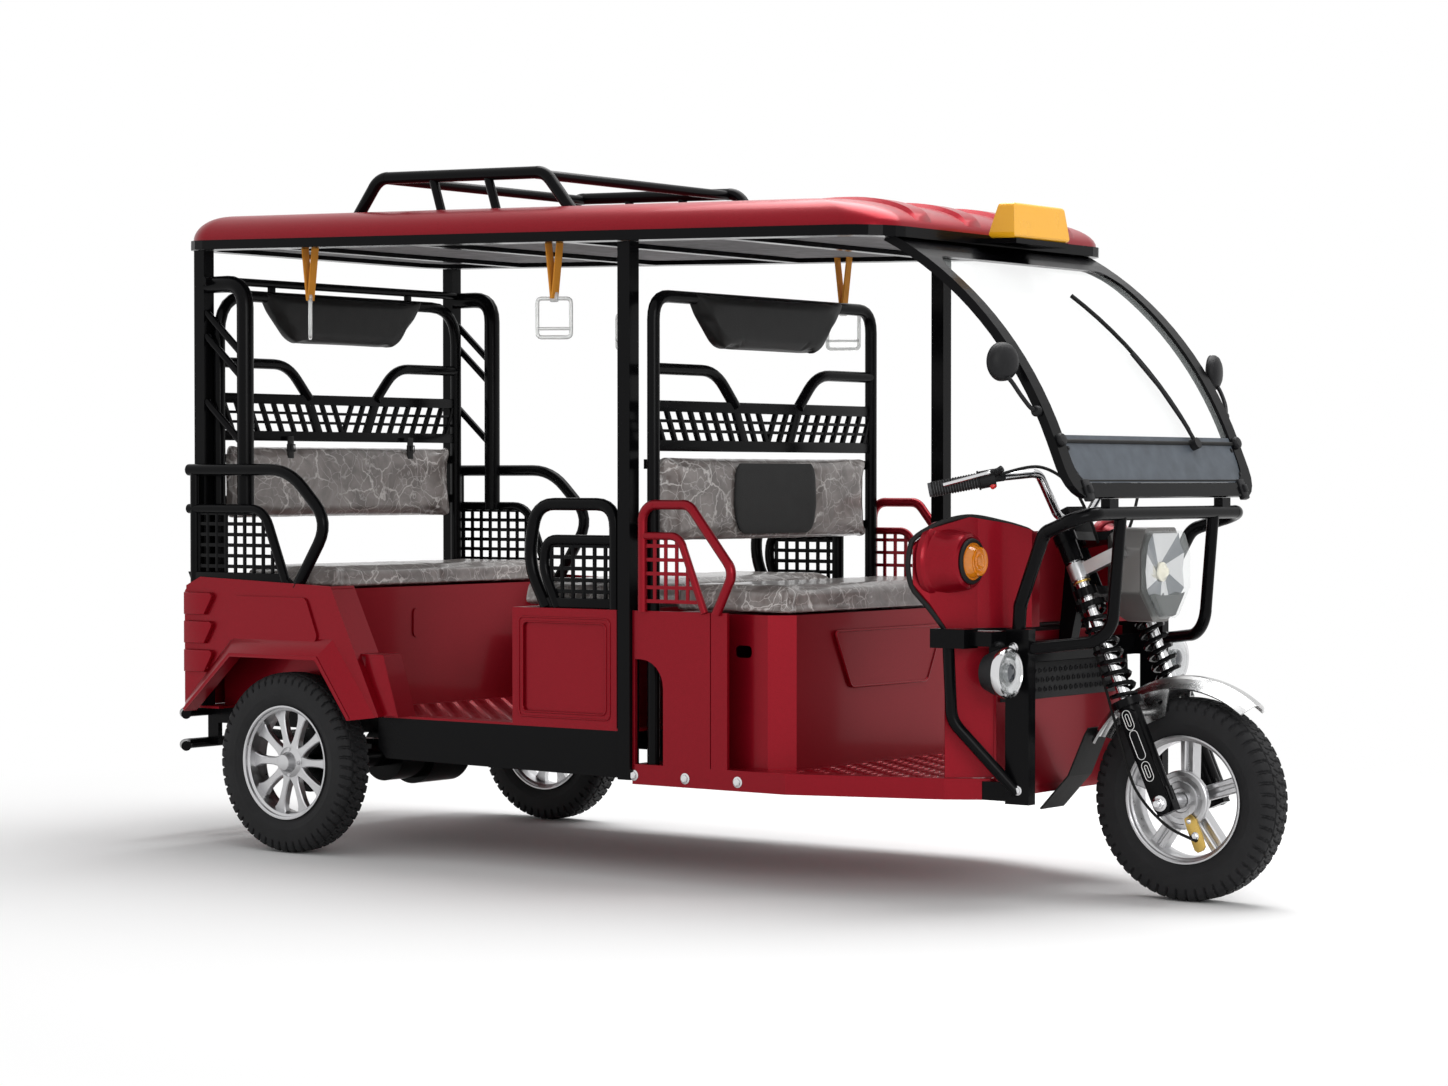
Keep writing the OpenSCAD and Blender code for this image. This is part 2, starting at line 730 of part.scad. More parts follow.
function screen_point(off, a) = screen_c + (screen_r + off) * [cos(a), sin(a)];

module wiper() {
    foot = screen_point(8 + seat_gap, screen_a1) + 12 * [sin(screen_a1), -cos(screen_a1)];
    knob = foot + 18 * [cos(screen_a1), sin(screen_a1)];
    line = [for (a = [25, 31, 37]) screen_point(15, a)];
    color("black") {
        rod([foot[0], 200, foot[1]], [knob[0], 200, knob[1]], 14);
        bent_tube([[knob[0] - 6, 200, knob[1] - 2], [line[0][0], 190, line[0][1]], [line[1][0], 150, line[1][1]],
            [line[2][0], 110, line[2][1]]], 5, 60);
    }
}

module mirrors() {
    foot = [nose_x + 212, screen_half_w + seat_gap, 1152];
    head = [nose_x + 160, 505, 1262];
    color("black") both_sides() {
        block(foot + [-12, 0, -14], foot + [12, 16, 14]);
        bent_tube([foot + [0, 8, 0], [foot[0] - 20, 480, 1180], head], 5, 20);
        along(head, unit([-1, -0.15, 0])) cylinder(h = 16, r = 58);
    }
}

// Front end

shell_z0 = post_z1 + seat_gap;
signal_y = 385;
signal_z = 803;
signal_r = 44;
shell_line = [
    [nose_x - 121, 460], [nose_x - 92, 432], [nose_x - 62, 385], [nose_x - 26, 330], [nose_x + 20, 270],
    [nose_x + 54, 222], [nose_x + 52, 190], [nose_x - 40, 172], [nose_x - 70, 150], [nose_x - 75, -1]
];

module front_shell() {
    face = [[-1, shell_z0], [400, shell_z0], [470, 760], [470, 830], [430, 880], [350, 906], [270, 890], [200, 868],
        [-1, 868]];
    color("firebrick") both_sides() difference() {
        union() {
            intersection() {
                deck_plate(shell_z0, 960) polygon(strip(shell_line, sheet));
                cross_plate(nose_x - 300, nose_x + 300) polygon(face);
            }
            translate([nose_x - 92, signal_y, signal_z]) rotate([0, 90, 0]) cylinder(h = 86, r1 = 74, r2 = 50);
        }
        translate([nose_x - 150, signal_y, signal_z]) rotate([0, 90, 0]) cylinder(h = 200, r = signal_r);
    }
}

module turn_signals() {
    color("orange") both_sides() translate([nose_x - 70, signal_y, signal_z]) rotate([0, 90, 0]) {
        cylinder(h = 70, r = signal_r - seat_gap);
        translate([0, 0, 70]) cylinder(h = 18, r1 = signal_r - 4, r2 = signal_r - 12);
    }
}

bar_x = nose_x + 300;
bar_z = 915;

module bull_bar() {
    side = [
        [post_x0 + 30, 318, post_z1 + seat_gap], [post_x0 + 36, 322, 700], [nose_x + 170, 350, 870],
        [bar_x, 385, bar_z], [bar_x, 0, bar_z]
    ];
    color("black") both_sides() {
        difference() {
            union() {
                bent_tube(side, bar_tube_r, 45);
                bent_tube([[bar_x, 222, bar_z], [bar_x - 25, 222, 620], [post_x1 - 40, 330, 596]], bar_tube_r * 0.9, 70);
            }
            block([nose_x, post_y0 - 20, 500], [post_x1 + seat_gap, post_y1 + 60, post_z1 + seat_gap]);
        }
        block([bar_x - 14, 250, bar_z + 4], [bar_x + 10, 290, screen_z0 - seat_gap]);
    }
}

module fog_lamps() {
    color("gainsboro") both_sides() translate([nose_x + 40, 382, 546]) {
        rotate([0, 90, 0]) {
            cylinder(h = 46, r1 = 34, r2 = 42);
            translate([0, 0, 46]) cylinder(h = 14, r = 44);
        }
        block([16, post_y1 + seat_gap - 382, -16], [40, -34, 16]);
    }
}

// Hand straps under the liner: places in X and side

strap_places = [[-9, -1], [843, -1], [1090, 1], [340, 1]];
strap_drop = 150;

module at_straps() {
    for (p = strap_places)
        translate([p[0], p[1] * 462, roof_under(p[0]) + liner_z - 0.6]) children();
}

module hand_straps() {
    color("orange") at_straps() side_plate(-12, 12)
        polygon([[-22, 0], [-18, 0], [0, -strap_drop + 10], [18, 0], [22, 0], [4, -strap_drop], [-4, -strap_drop]]);
}

module strap_rings() {
    color("lightgray") at_straps() translate([0, 0, -strap_drop - seat_gap]) side_plate(-5, 5) difference() {
        polygon(rounded(box_points(-35, -72, 35, 0), 10));
        polygon(rounded(box_points(-25, -62, 25, -10), 6));
    }
}

// Power and running gear

module battery_pack() {
    color("black") block([driver_box_back + 40, -300, driver_floor_z], [driver_box_front - 60, 300, 540]);
}

axle_tube_r = 35;
spring_reach = 420;
spring_eye_z = 302;

module rear_axle() {
    color("black") translate([0, 0, tyre_r]) rotate([90, 0, 0]) {
        translate([0, 0, -(wheel_y - 65)]) cylinder(h = 2 * (wheel_y - 65), r = axle_tube_r);
        translate([0, 0, -(wheel_y - 10)]) cylinder(h = 2 * (wheel_y - 10), r = stub_r);
        for (s = [-1, 1])
            translate([0, 0, s * (wheel_y - 60) - 5]) cylinder(h = 10, r = 85);
        translate([0, 0, -75]) cylinder(h = 150, r = 92);
        translate([0, 0, 60]) cylinder(h = 130, r = 76);
        for (s = [-1, 1])
            translate([-36, 20, s * rail_y - 26]) cube([72, axle_tube_r - 18, 52]);
    }
}

leaf_h = 7;

module leaf_springs() {
    seat = tyre_r + axle_tube_r + 2;
    rise = spring_eye_z - seat - 2 * leaf_h - seat_gap;
    step = (spring_reach + 18) / 6;
    function leaf(low, n) = [for (k = [-n : n]) [k * step, low + rise * pow(k / 6, 2)]];
    color("black") both_sides() side_plate(rail_y - 22, rail_y + 22) {
        polygon(strip(leaf(seat, 4), leaf_h + 0.2));
        polygon(strip(leaf(seat + leaf_h, 6), leaf_h));
    }
}

module rear_bumper() {
    x = -rear_reach + 14;
    color("black") {
        for (z = [341, 252])
            bent_tube([[x + 60, -450, z], [x, -400, z], [x, 400, z], [x + 60, 450, z]], 14, 50);
        both_sides() block([x, rail_y - 8, 245], [-520 - seat_gap, rail_y + 8, 352]);
    }
}

// Fork and steering

spring_z = leg_top + 18;
yoke_low = spring_z + spring_len + 28;
yoke_high = head_high + 5;

module fork_legs() {
    color("black") on_fork() {
        both_sides() translate([0, fork_half_w, 0]) {
            cylinder(h = leg_top + 1, r = leg_r);
            translate([0, 0, leg_top]) cylinder(h = 18, r = 39);
            translate([-24, -15, -26]) cube([48, 30, 60]);
        }
        translate([0, fork_half_w + 22, 0]) rotate([90, 0, 0]) cylinder(h = 2 * fork_half_w + 44, r = front_axle_r);
        translate([0, fork_half_w - 10, 0]) rotate([90, 0, 0]) cylinder(h = fork_half_w - 46, r = 14);
    }
}

clamp_x = -25;
clamp_z = 739;

module yoke_plate(z, h) {
    deck_plate(z, z + h) {
        for (s = [-1, 1])
            translate([0, s * fork_half_w]) circle(28);
        translate([-fork_offset, 0]) circle(26);
        polygon([[-fork_offset, -25], [-8, -fork_half_w], [20, -fork_half_w], [10, 0], [20, fork_half_w],
            [-8, fork_half_w], [-fork_offset, 25]]);
    }
}

module fork_yokes() {
    color("silver") on_fork() difference() {
        union() {
            yoke_plate(yoke_low, 22);
            yoke_plate(yoke_high, 22);
            both_sides() translate([0, fork_half_w, 0]) {
                translate([0, 0, spring_z]) cylinder(h = yoke_high + 30 - spring_z, r = stanchion_r);
                translate([0, 0, spring_z + spring_len]) cylinder(h = 14, r = 36);
                translate([0, 0, yoke_high - 50]) cylinder(h = 51, r = 24);
            }
            translate([-fork_offset, 0, yoke_low + 10]) cylinder(h = yoke_high - yoke_low, r = stem_r);
            block([clamp_x - 18, -44, yoke_high + 10], [clamp_x + 18, 44, clamp_z + 18]);
        }
        translate([clamp_x, 60, clamp_z]) rotate([90, 0, 0]) cylinder(h = 120, r = bar_r + run_gap);
    }
}

spring_wire = 6;

module fork_spring() {
    sides = 6;
    steps = 12;
    rings = spring_coils * steps;
    dip = spring_wire * sin(60) + seat_gap;
    rise = spring_len - 2 * dip;
    radius = 30;
    function ring_point(i, k) = let (a = 360 * i / steps, b = 360 * k / sides, r = radius + spring_wire * cos(b))
        [r * cos(a), r * sin(a), dip + rise * i / rings + spring_wire * sin(b)];
    points = [for (i = [0 : rings], k = [0 : sides - 1]) ring_point(i, k)];
    walls = [for (i = [0 : rings - 1], k = [0 : sides - 1]) let (n = (k + 1) % sides)
        [i * sides + k, i * sides + n, (i + 1) * sides + n, (i + 1) * sides + k]];
    caps = [[for (k = [sides - 1 : -1 : 0]) k], [for (k = [0 : sides - 1]) rings * sides + k]];
    polyhedron(points, concat([for (f = walls) reverse(f)], [for (f = caps) reverse(f)]));
}

module fork_springs() {
    color("black") on_fork() both_sides() translate([0, fork_half_w, spring_z]) fork_spring();
}

bar_path = [
    [clamp_x - 122, bar_half_w, clamp_z + 125], [clamp_x + 13, bar_half_w - 80, clamp_z + 98],
    [clamp_x + 49, bar_half_w - 210, clamp_z + 93], [clamp_x, 70, clamp_z]
];
bar_aim = unit(bar_path[0] - bar_path[1]);
grip_len = 122;

module handlebar() {
    other = [for (p = reverse(bar_path)) [p[0], -p[1], p[2]]];
    at = bar_path[0] - bar_aim * (grip_len - 3);
    color("black") on_fork() {
        bent_tube(concat(bar_path, other), bar_r, 45);
        both_sides() {
            along(at, -bar_aim) cylinder(h = 36, r = 21);
            rod(at - bar_aim * 18, at - bar_aim * 18 + [46, 0, 6], 8);
            bent_tube([at - bar_aim * 18 + [44, 0, 6], at + [40, 20, 2], at + bar_aim * 110 + [34, 10, -4]], 5, 12);
        }
    }
}

module grips() {
    color("dimgray") on_fork() both_sides() along(bar_path[0] + bar_aim * 4, -bar_aim) difference() {
        cylinder(h = grip_len, r = 17);
        translate([0, 0, 4 - seat_gap]) cylinder(h = grip_len, r = bar_r + run_gap);
    }
}

lamp_x = wheelbase - 112;

// A lamp body between two X places: its face, cut back to a chamfered end on all sides
module lamp_body(x0, x1, chamfer_x, half_w, low, high, cut) {
    near = chamfer_x > (x0 + x1) / 2;
    end = near ? x1 : x0;
    start = near ? x0 : x1;
    intersection() {
        cross_plate(x0, x1) polygon(rounded(
            [[-half_w * 0.35, low], [half_w * 0.35, low], [half_w, low + 70], [half_w, high - 50], [half_w * 0.7, high],
                [-half_w * 0.7, high], [-half_w, high - 50], [-half_w, low + 70]], 14, 3));
        side_plate(-half_w, half_w) polygon([[start, low], [chamfer_x, low], [end, low + cut], [end, high - cut * 0.7],
            [chamfer_x, high], [start, high]]);
        deck_plate(low, high) polygon([[start, -half_w], [chamfer_x, -half_w], [end, cut - half_w],
            [end, half_w - cut], [chamfer_x, half_w], [start, half_w]]);
    }
}

module headlamp() {
    color("gray") {
        lamp_body(lamp_x - 76, lamp_x + 30, lamp_x - 40, 100, 656, 880, 34);
        on_fork() both_sides() {
            difference() {
                translate([0, fork_half_w, 565]) cylinder(h = 40, r = 22);
                translate([0, fork_half_w, 560]) cylinder(h = 50, r = stanchion_r + run_gap);
            }
            block([18, 96, 570], [130, fork_half_w + 4, 600]);
        }
    }
}

module headlamp_lens() {
    color("white", 0.5) lamp_body(lamp_x + 30 + seat_gap, lamp_x + 68, lamp_x + 50, 94, 664, 872, 28);
}

fender_r = tyre_r + 24;
fender_half_w = 58;

module front_fender() {
    outer = [for (k = [-4 : 4]) [fender_r + 28 * (1 - pow(k / 4, 2)), fender_half_w * k / 4]];
    inner = [for (p = outer) [p[0] - 4, p[1] * (1 - 5 / fender_half_w)]];
    stay = fork_half_w - leg_r - seat_gap;
    color("silver") {
        translate([wheelbase, 0, tyre_r]) rotate([90, 0, 0]) rotate([0, 0, 52])
            rotate_extrude(angle = 100) polygon(concat(outer, reverse(inner)));
        on_fork() both_sides() {
            side_plate(fender_half_w - 6, fender_half_w - 2) difference() {
                polygon(concat([[-46, 196], [46, 196]], arc([0, 0], fender_r + 1, 72, 108, 8)));
                translate([46, 232]) circle(8);
            }
            translate([0, stay, 222]) rotate([90, 0, 0]) cylinder(h = stay - fender_half_w + 5, r = 9);
        }
    }
}

module mud_flap() {
    end = [wheelbase, tyre_r] + (fender_r + 28.5) * [cos(151), sin(151)];
    flap = [end + [10, 16], end, [nose_x + 60, 280], [nose_x - 18, 196]];
    color("black") side_plate(-fender_half_w + 4, fender_half_w - 4) polygon(strip(flap, -4));
}

module front_brake() {
    color("silver") on_fork() {
        rotate([90, 0, 0]) difference() {
            union() {
                translate([0, 0, 36]) cylinder(h = 8, r = 70);
                translate([0, 0, 43]) cylinder(h = fork_half_w - leg_r - seat_gap - 43, r = 18);
            }
            translate([0, 0, 30]) cylinder(h = fork_half_w, r = front_axle_r + run_gap);
        }
        side_plate(-52, -44) polygon(rounded([[-14, -70], [14, -70], [10, -30], [-10, -30]], 6));
    }
}

// Wheels

module tyre() {
    half = [[rim_r + seat_gap, 0], [rim_r + seat_gap, 34], [rim_r + 8, 37], [rim_r + 28, tyre_w / 2 - 3],
        [rim_r + 48, tyre_w / 2], [tyre_r - 18, tyre_w / 2 - 2], [tyre_r - 6, tyre_w / 2 - 8], [tyre_r, tyre_w / 2 - 20],
        [tyre_r, 0]];
    rotate([90, 0, 0]) rotate_extrude() polygon(concat(half, flip(half)));
}

module rim(spokes, hub_r, hub_in, hub_out, spoke_w) {
    half = [[rim_r - 16, 0], [rim_r - 12, 42], [rim_r + 6, 42], [rim_r + 6, 37], [rim_r, 34 + seat_gap], [rim_r, 0]];
    rotate([90, 0, 0]) {
        rotate_extrude() polygon(concat(half, flip(half)));
        difference() {
            union() {
                translate([0, 0, -hub_in]) cylinder(h = hub_in + hub_out, r = hub_r);
                for (i = [0 : spokes - 1])
                    rotate([0, 0, 360 * i / spokes]) translate([0, 0, 4])
                        linear_extrude(14) polygon([[hub_r - 6, -spoke_w], [rim_r - 10, -spoke_w * 0.7],
                            [rim_r - 10, spoke_w * 0.7], [hub_r - 6, spoke_w]]);
            }
            children();
        }
    }
}

module front_tyre() {
    color("black") translate([wheelbase, 0, tyre_r]) tyre();
}

module front_rim() {
    color("silver") translate([wheelbase, 0, tyre_r]) rim(front_spokes, 60, 30, 30, 17)
        translate([0, 0, -80]) cylinder(h = 160, r = front_axle_r + run_gap);
}

module right_tyre() {
    color("black") translate([0, -wheel_y, tyre_r]) tyre();
}

module left_tyre() {
    color("black") translate([0, wheel_y, tyre_r]) tyre();
}

module rear_rim() {
    translate([0, -wheel_y, tyre_r]) {
        rim(rear_spokes, 46, 30, 36, 12)
            translate([0, 0, -31]) cylinder(h = 28, r = stub_r + run_gap);
        rotate([90, 0, 0]) translate([0, 0, 35]) cylinder(h = 14, r1 = 36, r2 = 28);
    }
}

module right_rim() {
    color("silver") rear_rim();
}

module left_rim() {
    color("silver") mirror([0, 1, 0]) rear_rim();
}

place() chassis_frame();
place() passenger_floor();
place() driver_floor();
place() side_sills();
place() rear_quarter_panels();
place() wheel_well_covers();
place() rear_seat_box();
place() mid_seat_box();
place() driver_seat_box();
place() front_side_panels();
place() tail_panel();
place() tail_lamps();
place() seat_cushions();
place() backrest_cushions();
place() back_pads();
place() rear_backrest_frame();
place() front_backrest_frame();
place() rear_guards();
place() mid_guards();
place() pillars();
place() roof_frame();
place() roof_liner();
place() roof_panel();
place() roof_rack();
place() roof_sign();
place() windscreen_frame();
place() windscreen_glass();
place() windscreen_panel();
place() wiper();
place() mirrors();
place() front_shell();
place() bull_bar();
place() turn_signals();
place() fog_lamps();
place() hand_straps();
place() strap_rings();
place() battery_pack();
place() rear_axle();
place() leaf_springs();
place() rear_bumper();
place() fork_legs();
place() fork_yokes();
place() fork_springs();
place() handlebar();
place() grips();
place() headlamp();
place() headlamp_lens();
place() front_fender();
place() mud_flap();
place() front_brake();
place() front_tyre();
place() front_rim();
place() right_tyre();
place() right_rim();
place() left_tyre();
place() left_rim();
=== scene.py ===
import json
import math
import bmesh
import bpy
import numpy as np
from mathutils import Matrix, Vector, noise


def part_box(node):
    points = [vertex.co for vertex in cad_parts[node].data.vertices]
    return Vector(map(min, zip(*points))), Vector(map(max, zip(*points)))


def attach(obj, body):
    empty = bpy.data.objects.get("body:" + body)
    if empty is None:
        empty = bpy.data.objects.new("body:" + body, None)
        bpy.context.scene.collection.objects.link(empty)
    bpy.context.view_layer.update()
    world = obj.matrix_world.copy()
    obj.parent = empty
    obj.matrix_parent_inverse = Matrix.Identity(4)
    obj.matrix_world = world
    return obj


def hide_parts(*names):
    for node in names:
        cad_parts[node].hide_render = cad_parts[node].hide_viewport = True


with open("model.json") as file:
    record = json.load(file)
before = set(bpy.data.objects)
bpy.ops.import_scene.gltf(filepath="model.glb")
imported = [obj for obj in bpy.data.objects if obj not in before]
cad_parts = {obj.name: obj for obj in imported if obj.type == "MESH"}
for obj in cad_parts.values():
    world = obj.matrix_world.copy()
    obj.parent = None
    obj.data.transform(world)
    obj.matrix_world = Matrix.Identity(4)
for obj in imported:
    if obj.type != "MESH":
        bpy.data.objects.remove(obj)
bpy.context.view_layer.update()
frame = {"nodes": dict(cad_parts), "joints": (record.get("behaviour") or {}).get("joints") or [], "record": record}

nodes = frame["nodes"]


def boxCentre(node):
    low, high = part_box(node)
    return (low + high) / 2


rearAxle = boxCentre("right_rim")
frontAxle = boxCentre("front_rim")


# A point given in millimetres from the rear axle, on the centre line and from the floor
def at(x, y, z):
    return Vector((rearAxle.x + x / 1000, y / 1000, z / 1000))


# The fork's own frame: origin at the front axle, Z up along the legs
steering = [joint for joint in frame["joints"] if joint["name"] == "steering"][0]
rake = math.atan2(-steering["axis"][0], steering["axis"][2])
forkFrame = Matrix.Translation(frontAxle) @ Matrix.Rotation(-rake, 4, "Y")


def onFork(x, y, z):
    return forkFrame @ Vector((x / 1000, y / 1000, z / 1000))


def inFork(point):
    return forkFrame.inverted() @ point * 1000


print("frame loaded:", len(nodes), "nodes")


# Shader helpers

def setInputs(node, values):
    for key, value in values.items():
        node.inputs[key].default_value = value


def newShader(name, color, roughness, metallic=0.0, coat=0.0):
    made = bpy.data.materials.new(name)
    made.use_nodes = True
    tree = made.node_tree
    surface = tree.nodes["Principled BSDF"]
    setInputs(surface, {"Base Color": (*color, 1), "Roughness": roughness, "Metallic": metallic,
                        "Coat Weight": coat, "Coat Roughness": 0.04})
    return made, tree, surface


def addNode(tree, kind, inputs=None, **settings):
    made = tree.nodes.new(kind)
    for key, value in settings.items():
        setattr(made, key, value)
    setInputs(made, inputs or {})
    return made


def placeIn(tree):
    return addNode(tree, "ShaderNodeTexCoord").outputs["Object"]


def cloud(tree, scale, detail=4.0, distortion=0.0):
    made = addNode(tree, "ShaderNodeTexNoise", {"Scale": scale, "Detail": detail, "Distortion": distortion})
    tree.links.new(placeIn(tree), made.inputs["Vector"])
    return made.outputs["Fac"]


def spread(tree, value, low, high, fromLow=0.3, fromHigh=0.7):
    made = addNode(tree, "ShaderNodeMapRange",
                   {"From Min": fromLow, "From Max": fromHigh, "To Min": low, "To Max": high})
    tree.links.new(value, made.inputs["Value"])
    return made.outputs["Result"]


def ramp(tree, value, stops):
    made = addNode(tree, "ShaderNodeValToRGB")
    while len(made.color_ramp.elements) < len(stops):
        made.color_ramp.elements.new(0.5)
    for element, (position, color) in zip(made.color_ramp.elements, stops):
        element.position = position
        element.color = (*color, 1)
    tree.links.new(value, made.inputs["Fac"])
    return made.outputs["Color"]


def mixColor(tree, share, first, second, blend="MIX"):
    made = addNode(tree, "ShaderNodeMix", data_type="RGBA", blend_type=blend)
    for socket, value in ((made.inputs[0], share), (made.inputs[6], first), (made.inputs[7], second)):
        if isinstance(value, bpy.types.NodeSocket):
            tree.links.new(value, socket)
        else:
            socket.default_value = value
    return made.outputs[2]


def combine(tree, first, second, operation):
    made = addNode(tree, "ShaderNodeMath", operation=operation)
    tree.links.new(first, made.inputs[0])
    tree.links.new(second, made.inputs[1])
    return made.outputs[0]


def bump(tree, surface, height, strength, distance):
    made = addNode(tree, "ShaderNodeBump", {"Strength": strength, "Distance": distance})
    tree.links.new(height, made.inputs["Height"])
    tree.links.new(made.outputs["Normal"], surface.inputs["Normal"])


def link(tree, value, surface, key):
    tree.links.new(value, surface.inputs[key])


# Materials

def redPaint():
    look = {"base": (0.31, 0.004, 0.015), "deep": (0.21, 0.002, 0.008), "flakes": 900}
    made, tree, surface = newShader("redPaint", look["base"], 0.36, 0.55, 0.16)
    setInputs(surface, {"Specular IOR Level": 0.14, "Coat Roughness": 0.10})
    flake = addNode(tree, "ShaderNodeTexVoronoi", {"Scale": look["flakes"]})
    tree.links.new(placeIn(tree), flake.inputs["Vector"])
    sparkle = spread(tree, flake.outputs["Distance"], 0, 1, 0.1, 0.8)
    link(tree, mixColor(tree, sparkle, (*look["base"], 1), (*look["deep"], 1)), surface, "Base Color")
    link(tree, spread(tree, cloud(tree, 3), 0.30, 0.42), surface, "Roughness")
    return made


def plainGloss(name, color, rough, coat=0.3, metallic=0.0, sheen=0.5):
    made, tree, surface = newShader(name, color, rough, metallic, coat)
    setInputs(surface, {"Specular IOR Level": sheen})
    link(tree, spread(tree, cloud(tree, 9), rough * 0.8, rough * 1.25), surface, "Roughness")
    return made


def grainy(name, color, rough, grain, depth, sheen=0.22):
    made, tree, surface = newShader(name, color, rough)
    setInputs(surface, {"Specular IOR Level": sheen})
    shade = spread(tree, cloud(tree, 25), 0.82, 1.18)
    link(tree, mixColor(tree, 1.0, (*color, 1), shade, "MULTIPLY"), surface, "Base Color")
    bump(tree, surface, cloud(tree, grain, 2), 0.5, depth)
    return made


# Marbled vinyl: clouded grey-brown with pale veins, under a clear sheen
def seatVinyl():
    look = {"dark": (0.15, 0.128, 0.12), "light": (0.29, 0.258, 0.245), "vein": (0.72, 0.69, 0.67)}
    veins = ({"scale": 13, "width": 0.032, "share": 0.92}, {"scale": 29, "width": 0.04, "share": 0.55})
    made, tree, surface = newShader("seatVinyl", look["dark"], 0.32, 0, 0.45)
    setInputs(surface, {"Coat Roughness": 0.12})
    place = placeIn(tree)
    bend = addNode(tree, "ShaderNodeTexNoise", {"Scale": 7, "Detail": 5})
    tree.links.new(place, bend.inputs["Vector"])
    shifted = mixColor(tree, 0.14, place, bend.outputs["Color"])
    ground = ramp(tree, cloud(tree, 11, 6, 1.5), [(0.35, look["dark"]), (0.68, look["light"])])
    for vein in veins:
        cells = addNode(tree, "ShaderNodeTexVoronoi", {"Scale": vein["scale"]}, feature="DISTANCE_TO_EDGE")
        tree.links.new(shifted, cells.inputs["Vector"])
        line = spread(tree, cells.outputs["Distance"], vein["share"], 0, 0.0, vein["width"])
        gaps = spread(tree, cloud(tree, vein["scale"] * 0.7), 0, 1, 0.36, 0.52)
        ground = mixColor(tree, combine(tree, line, gaps, "MULTIPLY"), ground, (*look["vein"], 1))
    link(tree, ground, surface, "Base Color")
    bump(tree, surface, cloud(tree, 60, 5, 0.6), 0.35, 0.002)
    return made


def screenGlass(name, alpha):
    made, _, surface = newShader(name, (0.90, 0.96, 0.95), 0.03, 0, 0.6)
    setInputs(surface, {"Alpha": alpha})
    return made


def lens(name, color, rough, through):
    made, tree, surface = newShader(name, color, rough, 0, 0.7)
    setInputs(surface, {"Transmission Weight": through, "IOR": 1.45})
    bump(tree, surface, cloud(tree, 140, 1), 0.2, 0.0006)
    return made


def polishedAlloy():
    made, tree, surface = newShader("polishedAlloy", (0.56, 0.56, 0.57), 0.34, 1.0)
    link(tree, spread(tree, cloud(tree, 60, 3), 0.27, 0.42), surface, "Roughness")
    bump(tree, surface, cloud(tree, 420, 2), 0.08, 0.0004)
    return made


def orangeWebbing():
    color = (0.80, 0.31, 0.02)
    made, tree, surface = newShader("orangeWebbing", color, 0.75)
    weave = addNode(tree, "ShaderNodeTexWave", {"Scale": 160, "Distortion": 0.4}, bands_direction="Z")
    tree.links.new(placeIn(tree), weave.inputs["Vector"])
    shade = spread(tree, weave.outputs["Fac"], 0.7, 1.1, 0, 1)
    link(tree, mixColor(tree, 1.0, (*color, 1), shade, "MULTIPLY"), surface, "Base Color")
    bump(tree, surface, weave.outputs["Fac"], 0.5, 0.001)
    return made


# One finish for each slot of the record
finish = {
    "red_paint": redPaint(),
    "black_paint": plainGloss("blackPaint", (0.003, 0.003, 0.0035), 0.2, 0.0, 0.0, 0.08),
    "seat_vinyl": seatVinyl(),
    "black_vinyl": grainy("blackVinyl", (0.010, 0.010, 0.010), 0.42, 420, 0.0012),
    "grey_liner": grainy("greyLiner", (0.23, 0.23, 0.235), 0.9, 500, 0.001),
    "yellow_sign": plainGloss("yellowSign", (0.88, 0.42, 0.008), 0.32),
    "screen_glass": screenGlass("screenGlass", 0.08),
    "red_lens": lens("redLens", (0.62, 0.01, 0.01), 0.12, 0.35),
    "amber_lens": lens("amberLens", (0.95, 0.30, 0.01), 0.12, 0.35),
    "clear_lens": lens("clearLens", (0.96, 0.97, 0.97), 0.02, 1.0),
    "bright_chrome": plainGloss("brightChrome", (0.66, 0.66, 0.67), 0.10, 0, 1.0),
    "polished_alloy": polishedAlloy(),
    "black_plastic": grainy("blackPlastic", (0.008, 0.008, 0.009), 0.5, 700, 0.0006),
    "grey_plastic": grainy("greyPlastic", (0.075, 0.076, 0.08), 0.48, 600, 0.0006),
    "orange_webbing": orangeWebbing(),
    "pale_plastic": lens("palePlastic", (0.93, 0.94, 0.93), 0.15, 0.55),
    "black_rubber": grainy("blackRubber", (0.009, 0.009, 0.009), 0.62, 300, 0.0006),
    "tyre_rubber": grainy("tyreRubber", (0.010, 0.010, 0.011), 0.68, 260, 0.0008, 0.3),
}
# Second finishes, for small pieces and for nodes that differ from their slot
extras = {
    "brass": plainGloss("brass", (0.62, 0.42, 0.12), 0.28, 0, 1.0),
    "white": plainGloss("whiteLine", (0.82, 0.82, 0.82), 0.4),
    "red_button": plainGloss("redButton", (0.70, 0.015, 0.015), 0.35),
    # Near-black finish for the sheet in the headlamp's lower part: painted shade inside the lamp
    "dark": plainGloss("paintedShadeRecess", (0.006, 0.006, 0.006), 0.6, 0),
    "brushed": plainGloss("brushedSteel", (0.50, 0.50, 0.50), 0.26, 0, 1.0),
    # A darkened copy of chrome: painted shade for every other facet of the headlamp reflector
    "shaded_chrome": plainGloss("paintedShadeChrome", (0.16, 0.17, 0.19), 0.12, 0, 1.0),
    "lamp_grey": plainGloss("lampGrey", (0.16, 0.155, 0.15), 0.3, 0.2, 0.55),
    "panel_grey": grainy("panelGrey", (0.075, 0.088, 0.105), 0.4, 600, 0.0004),
    "mirror": plainGloss("mirrorGlass", (0.86, 0.88, 0.9), 0.02, 0, 1.0),
    "lamp_cover": screenGlass("lampCover", 0.16),
    "bulb": plainGloss("bulb", (0.95, 0.90, 0.72), 0.15, 0.5),
    "dark_glass": plainGloss("darkGlass", (0.035, 0.04, 0.05), 0.05, 1.0),
}
print("materials made:", len(finish) + len(extras))


# Finishes of the CAD nodes: the record's slot, or one of these

